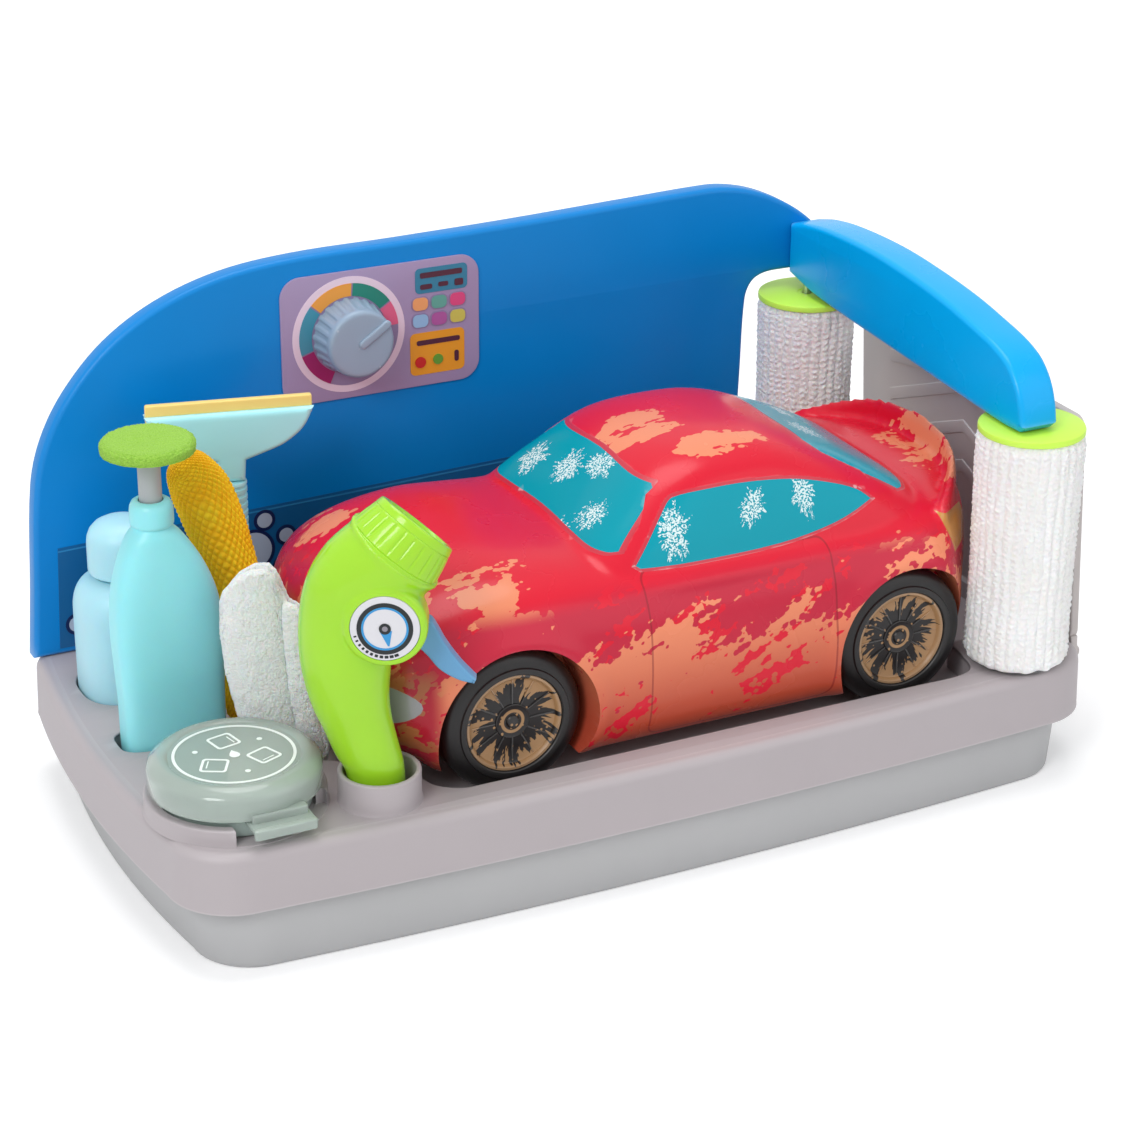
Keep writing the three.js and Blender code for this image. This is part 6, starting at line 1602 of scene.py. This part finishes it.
# %% [markdown]
# Paint that changes from place to place needs two more helpers: a soft spot that says how muddy it is
# near a point, and the moulded group set after a colour that other nodes have mixed.

# %% Helpers for paint
def soft_spot(tree, place, centre, size, strength):
    """A value that is strong near a point in millimetres and falls off to none."""
    local = node(tree, "Mapping", ("Vector", place), Location=[-c / s for c, s in zip(centre, size)],
                 Scale=[1 / (s * MM) for s in size])
    away = node(tree, "VectorMath", ("Vector", local.outputs[0]), mode="LENGTH").outputs["Value"]
    return ramped(tree, away, 0.35, 1.0, strength, 0.0)


def finish_shader(tree, shader, colour, gloss, grain=0.08):
    """The moulded group after a colour that was made by nodes."""
    moulded_into(tree, shader, ("Colour", colour), Cloud=0.04, Grain=grain, Grain_Scale=1400.0, Gloss=gloss,
                 Rim=0.08)


# %% [markdown]
# Here the paint is put together. How muddy a place is starts from its height and rises at the soft spots
# and round the wheels; the splash group turns that number into streaks. A painted shade low on the front,
# under the head lamps, and the thin gap round the door come last, as masks in the same colour.

# %% Muddy red paint
car_red, tree, shader = shader_of("car_red")
place = node(tree, "TexCoord").outputs["Object"]
xyz = node(tree, "SeparateXYZ", ("Vector", place))
level = ramped(tree, xyz.outputs["Z"], 0.084, 0.124, 0.62, 0.30)
spots = [((20, MID, 158), (34, 26, 14), 0.33), ((46, MID - 30, 156), (30, 16, 12), 0.3),
         ((-104, -52, 118), (30, 30, 14), 0.34), ((-66, -62, 124), (34, 18, 10), 0.29),
         ((-46, -84, 106), (36, 14, 12), 0.33), ((-8, -84, 98), (30, 14, 14), 0.31),
         ((-100, 34, 120), (28, 24, 12), 0.27), ((154, MID - 18, 136), (22, 60, 16), 0.33),
         ((-118, MID, 86), (14, 70, 34), 0.32), ((92, -84, 116), (22, 18, 14), 0.2),
         ((118, -84, 112), (26, 18, 16), 0.3), ((118, 64, 112), (26, 18, 16), 0.3)]
for centre, size, strength in spots:
    level = sums(tree, "MAXIMUM", level, sums(tree, "ADD", 0.30,
                                              soft_spot(tree, place, centre, size, strength)))
for x in WHEEL_X:
    ring = node(tree, "Mapping", ("Vector", place), Location=(-x * MM, 0, -AXLE_Z * MM), Scale=(1, 0, 1))
    away = node(tree, "VectorMath", ("Vector", ring.outputs[0]), mode="LENGTH").outputs["Value"]
    level = sums(tree, "MAXIMUM", level, ramped(tree, away, 0.038, 0.056, 0.66, 0.30))
mud = grouped(tree, splash, ("Vector", place), ("Level", level)).outputs["Mask"]
torn_level = ramped(tree, xyz.outputs["Z"], 0.076, 0.112, 0.36, 0.60)
torn = grouped(tree, splash, ("Vector", place), ("Level", torn_level), Seed=0.31).outputs["Mask"]
torn = sums(tree, "MULTIPLY", torn, ramped(tree, xyz.outputs["Z"], 0.120, 0.112))
# The mud's colour is darker towards the bottom.
low_tone = ramped(tree, xyz.outputs["Z"], 0.06, 0.105)
clay = mixed(tree, low_tone, tone("C04F38"), tone("E88A66"))
colour = mixed(tree, mud, tone("D8142F"), clay)
colour = mixed(tree, torn, colour, tone("C01F3A"))
# Painted shade: low on the front the paint turns a darker red, with brown mud patches in it.
front_shade = sums(tree, "MULTIPLY", ramped(tree, xyz.outputs["X"], -0.090, -0.098),
              ramped(tree, xyz.outputs["Z"], 0.106, 0.094))
splashed = grouped(tree, splash, ("Vector", place),
                   ("Level", ramped(tree, xyz.outputs["Z"], 0.05, 0.1, 0.52, 0.5)), Seed=0.77)
shaded = mixed(tree, splashed.outputs["Mask"], tone("A81A2E"), tone("A05A3A"))
colour = mixed(tree, front_shade, colour, shaded)


def door_gap(tree, place, middle, half, corner):
    """A thin line round a rounded rectangle seen from the side."""
    local = node(tree, "Mapping", ("Vector", place), Location=(-middle[0], 0, -middle[1]),
                 Scale=(1000, 0, 1000))
    flat = node(tree, "VectorMath", ("Vector", local.outputs[0]), mode="ABSOLUTE")
    over = node(tree, "VectorMath", ("Vector", flat.outputs[0]), mode="SUBTRACT")
    over.inputs[1].default_value = (half[0] - corner, 0, half[1] - corner)
    past = node(tree, "VectorMath", ("Vector", over.outputs[0]), mode="MAXIMUM")
    past.inputs[1].default_value = (0, 0, 0)
    far = node(tree, "VectorMath", ("Vector", past.outputs[0]), mode="LENGTH").outputs["Value"]
    parts = node(tree, "SeparateXYZ", ("Vector", over.outputs[0]))
    inner = sums(tree, "MINIMUM", sums(tree, "MAXIMUM", parts.outputs["X"], parts.outputs["Z"]), 0.0)
    gap = sums(tree, "ABSOLUTE", sums(tree, "SUBTRACT", sums(tree, "ADD", far, inner), corner))
    return ramped(tree, gap, 0.25, 0.55, 1.0, 0.0)


door = door_gap(tree, place, (38, 88), (42, 34), 5)
colour = mixed(tree, sums(tree, "MULTIPLY", door, 0.55), colour, tone("7E1420"))
finish_shader(tree, shader, colour, 0.27)
set_on(shader, Specular_IOR_Level=0.25, Coat_Weight=0.1, Coat_Roughness=0.12)
car_shell = piece("car_shell", shell, "car", car_red, "car_red", "car_body", sharp=36)
print("car shell polygons:", len(car_shell.data.polygons))

# %% [markdown]
# The windows are opaque teal, as on the real kind of toy, with white splashes printed on them. Each
# splash is the star-shaped group again, placed by a mapping that squeezes and turns it, so that one group
# makes the wheels' dark splats and these as well.

# %% Splashed windows
window_teal, tree, shader = shader_of("window_teal")
place = node(tree, "TexCoord").outputs["Object"]
inks = None
marks = [((14, -66, 133), 20, 6.4), ((50, -64, 137), 38, 4.6), ((74, -62, 137), -10, 5.0),
         ((-24, -28, 127), 30, 6.0), ((-8, -40, 134), 60, 4.6), ((-2, -4, 140), 40, 5.0),
         ((4, -20, 146), 20, 5.0), ((104, -16, 146), 70, 6.0), ((16, 46, 133), -20, 6.0),
         ((52, 44, 137), 30, 4.6), ((-8, 20, 138), 60, 5.0), ((108, 12, 144), 30, 5.0)]
for number, (centre, turn, size) in enumerate(marks):
    local = node(tree, "Mapping", ("Vector", place), vector_type="TEXTURE", Location=[c * MM for c in centre],
                 Rotation=(0, math.radians(turn), 0), Scale=(MM * 0.72, MM * 1.1, MM * 1.25))
    mask = grouped(tree, splat, ("Vector", local.outputs[0]), Radius=size * 1.45, Seed=float(number) * 1.7,
                   Arms=3.4).outputs["Mask"]
    inks = mask if inks is None else sums(tree, "MAXIMUM", inks, mask)
speck = node(tree, "TexNoise", ("Vector", place), Scale=1300.0, Detail=1.0).outputs["Fac"]
inks = sums(tree, "MULTIPLY", inks, ramped(tree, speck, 0.45, 0.52))
colour = mixed(tree, sums(tree, "MULTIPLY", inks, 0.85), tone("0096A8"), tone("E6F2F0"))
finish_shader(tree, shader, colour, 0.2, 0.02)
set_on(shader, Specular_IOR_Level=0.14, Coat_Weight=0.04, Coat_Roughness=0.06)
seal_red = plastic("window_seal", "C4273B", gloss=0.3, rim=0.3)
for name in prisms:
    piece(name + "_pane", panes[name], "car", [window_teal, seal_red], "window_teal", name, sharp=36)
for name in ("near", "far"):
    for lamp, finish, slot in (("tail_lamp", lamp_amber, "lamp_amber"),
                               ("head_lamp", lamp_grey, "lamp_grey")):
        node_name = "car_%s_%s" % (lamp, name)
        piece("%s_lens_%s" % (lamp, name), panes[node_name], "car", finish, slot, node_name)
plain(dark_plastic, "car_underpan")
plain(steel, "axle_front", "axle_rear")
print("glass and lamps:", len(panes))

# %% [markdown]
# A tyre is a turned profile with a rounded shoulder and a raised bead. The rim inside it is a shallow
# bronze dish with thin raised spokes and a dark splat. The splat is made in the wheel's own plane: the
# wheel's centre is taken off the object coordinates before the group reads them.

# %% Tyres and rims
tyre_black = plastic("tyre_black", "131112", gloss=0.42, grain=0.3, cloud=0.1, rim=0.05, scale=900.0)
WIDE, FACE = 20.0, 68.6
tyre_rows = [(20.65, 0.6), (20.65, 19.4), (21.0, 19.8), (22.0, 20.0), (23.2, 19.9), (23.6, 19.2),
             (25.2, 19.0), (27.4, 18.4), (28.6, 17.4), (29.5, 16.0), (29.9, 14.2), (30.0, 12.0), (30.0, 4.0),
             (29.6, 1.6), (28.0, 0.4), (21.2, 0.1), (20.65, 0.6)]
rim_rows = [(0, 17.9), (2.2, 17.9), (2.6, 17.6), (2.9, 17.0), (6.6, 17.0), (6.9, 17.2), (7.2, 17.0),
            (7.4, 16.5), (12, 16.2), (17.6, 16.6), (18.3, 17.0), (18.7, 18.2), (19.4, 18.8), (20.3, 18.8),
            (20.55, 18.4), (20.55, 3.9), (20, 3.5), (2.6, 3.5)]


def wheel_spokes(bm, count=12):
    """Thin raised lines from the hub to the lip."""
    bars = [bm]
    for k in range(count):
        bar = moved(flat_shape(box_line(7.3, 18.0, -0.28, 0.28, 0.25, 3), 0.9, 0.2), shifted(0, 0, 16.5),
                    Matrix.Rotation(k * 2 * math.pi / count, 4, "Z"))
        bars.append(bar)
    return together(*bars)


for end, x in zip(("front", "rear"), WHEEL_X):
    for side, name in ((-1, "near"), (1, "far")):
        bronze, tree, shader = shader_of("rim_bronze_%s_%s" % (end, name))
        place = node(tree, "TexCoord").outputs["Object"]
        local = node(tree, "Mapping", ("Vector", place), vector_type="TEXTURE",
                     Location=(x * MM, 0, AXLE_Z * MM), Scale=(MM, 1, MM))
        flat = node(tree, "VectorMath", ("Vector", local.outputs[0]), mode="MULTIPLY")
        flat.inputs[1].default_value = (1, 0, 1)
        seed = 2.3 + x * 0.05 + side
        mask = grouped(tree, splat, ("Vector", flat.outputs[0]), Radius=18.5, Seed=seed,
                       Arms=2.5).outputs["Mask"]
        holes = node(tree, "TexVoronoi", ("Vector", flat.outputs[0]), Scale=0.34,
                     feature="F1").outputs["Distance"]
        mask = sums(tree, "MULTIPLY", mask, ramped(tree, holes, 0.17, 0.24))
        away = node(tree, "VectorMath", ("Vector", flat.outputs[0]), mode="LENGTH").outputs["Value"]
        hub = ramped(tree, sums(tree, "ABSOLUTE", sums(tree, "SUBTRACT", away, 4.4)), 0.5, 0.8)
        colour = mixed(tree, sums(tree, "MULTIPLY", mask, hub), tone("A68058"), tone("141011"))
        finish_shader(tree, shader, colour, 0.36)
        place_at = (x, MID + side * (FACE - WIDE), AXLE_Z)
        tyre = turned_shape(tyre_rows, 96, axis="Y")
        rim = wheel_spokes(turned_shape(rim_rows, 72))
        rim = moved(rim, Matrix.Rotation(-math.pi / 2, 4, "X"))
        for title, bm, finish, slot in (("tyre", tyre, tyre_black, "tyre_black"),
                                        ("rim", rim, bronze, "rim_bronze")):
            if side < 0:
                bm = moved(bm, MIRROR_Y)
            piece("%s_%s_%s_shape" % (title, end, name), moved(bm, shifted(*place_at)), "wheels_" + end,
                  finish, slot, "%s_%s_%s" % (title, end, name), sharp=34)
print("wheels:", [name for name, count in made_rows if "tyre" in name])

# %% [markdown]
# The toy stands on a wide pale floor under soft light. Large area lamps keep the shadows gentle, and the
# world gives a little light from all round. The camera sees plain white behind the toy, and so do shiny
# surfaces, through the Light Path node. The floor is lit like anything else, so it keeps the shadow, and
# for the camera alone it also glows, more with distance, so that it fades into the white.

# %% Floor, lamps and world
floor_mesh = bpy.data.meshes.new("floor")
bm = bmesh.new()
bmesh.ops.create_circle(bm, cap_ends=True, radius=3.0, segments=96)
bm.to_mesh(floor_mesh)
bm.free()
floor = bpy.data.objects.new("floor", floor_mesh)
scene.collection.objects.link(floor)
floor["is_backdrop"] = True
floor_white, tree, shader = shader_of("floor_white")
set_on(shader, Roughness=0.9, Specular_IOR_Level=0.1, Emission_Color=(1, 1, 1, 1))
wear = node(tree, "TexNoise", ("Vector", node(tree, "TexCoord").outputs["Object"]), Scale=3.0)
shade = mixed(tree, sums(tree, "MULTIPLY", wear.outputs["Fac"], 0.02), (0.93, 0.93, 0.935, 1),
              (0.9, 0.9, 0.9, 1))
tree.links.new(shade, shader.inputs["Base Color"])
seen = node(tree, "LightPath").outputs["Is Camera Ray"]
ground = node(tree, "TexCoord").outputs["Object"]
away = node(tree, "VectorMath", ("Vector", ground), mode="LENGTH").outputs["Value"]
glow = ramped(tree, away, 0.5, 1.7, 0.2, 1.0)
tree.links.new(sums(tree, "MULTIPLY", seen, glow), shader.inputs["Emission Strength"])
floor_mesh.materials.append(floor_white)

LAMPS = [("key", (-1.35, -1.0, 1.35), 0.85, 15.5), ("fill", (0.9, -1.35, 0.95), 1.5, 4.6),
         ("top", (0.0, 0.2, 1.75), 1.1, 12.5)]
for name, at, size, power in LAMPS:
    lamp = bpy.data.lights.new(name, "AREA")
    lamp.shape = "DISK"
    lamp.size = size
    lamp.energy = power
    holder = bpy.data.objects.new(name, lamp)
    holder.location = at
    aim = (Vector((0, 0, 0.08)) - Vector(at)).to_track_quat("-Z", "Y")
    holder.rotation_euler = aim.to_euler()
    scene.collection.objects.link(holder)

world = bpy.data.worlds.new("studio")
scene.world = world
world.use_nodes = True
tree = world.node_tree
soft = tree.nodes["Background"]
soft.inputs["Color"].default_value = (0.97, 0.985, 1.0, 1)
soft.inputs["Strength"].default_value = 0.56
white = node(tree, "Background", Strength=1.0, Color=(1, 1, 1, 1))
ray = node(tree, "LightPath")
seen = sums(tree, "MAXIMUM", ray.outputs["Is Camera Ray"], ray.outputs["Is Glossy Ray"])
seen = sums(tree, "MAXIMUM", seen, ray.outputs["Is Transmission Ray"])
blend = node(tree, "MixShader", ("Fac", seen))
tree.links.new(soft.outputs[0], blend.inputs[1])
tree.links.new(white.outputs[0], blend.inputs[2])
tree.links.new(blend.outputs[0], tree.nodes["World Output"].inputs["Surface"])
print("lamps:", [row[0] for row in LAMPS])

# %% [markdown]
# Last, the size of the dressed toy is written beside the size of the bare solids. The two boxes should
# agree within about a millimetre, and the list of pieces shows at a glance which one is too heavy.

# %% Sizes and finish
looks_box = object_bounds()
as_list = [[list(corner) for corner in box] for box in (cad_box, looks_box)]
for row in as_list:
    print([[round(v * 1000, 1) for v in corner] for corner in row])
print("polygons in all:", sum(count for name, count in made_rows))
print(sorted(made_rows, key=lambda row: -row[1])[:8])
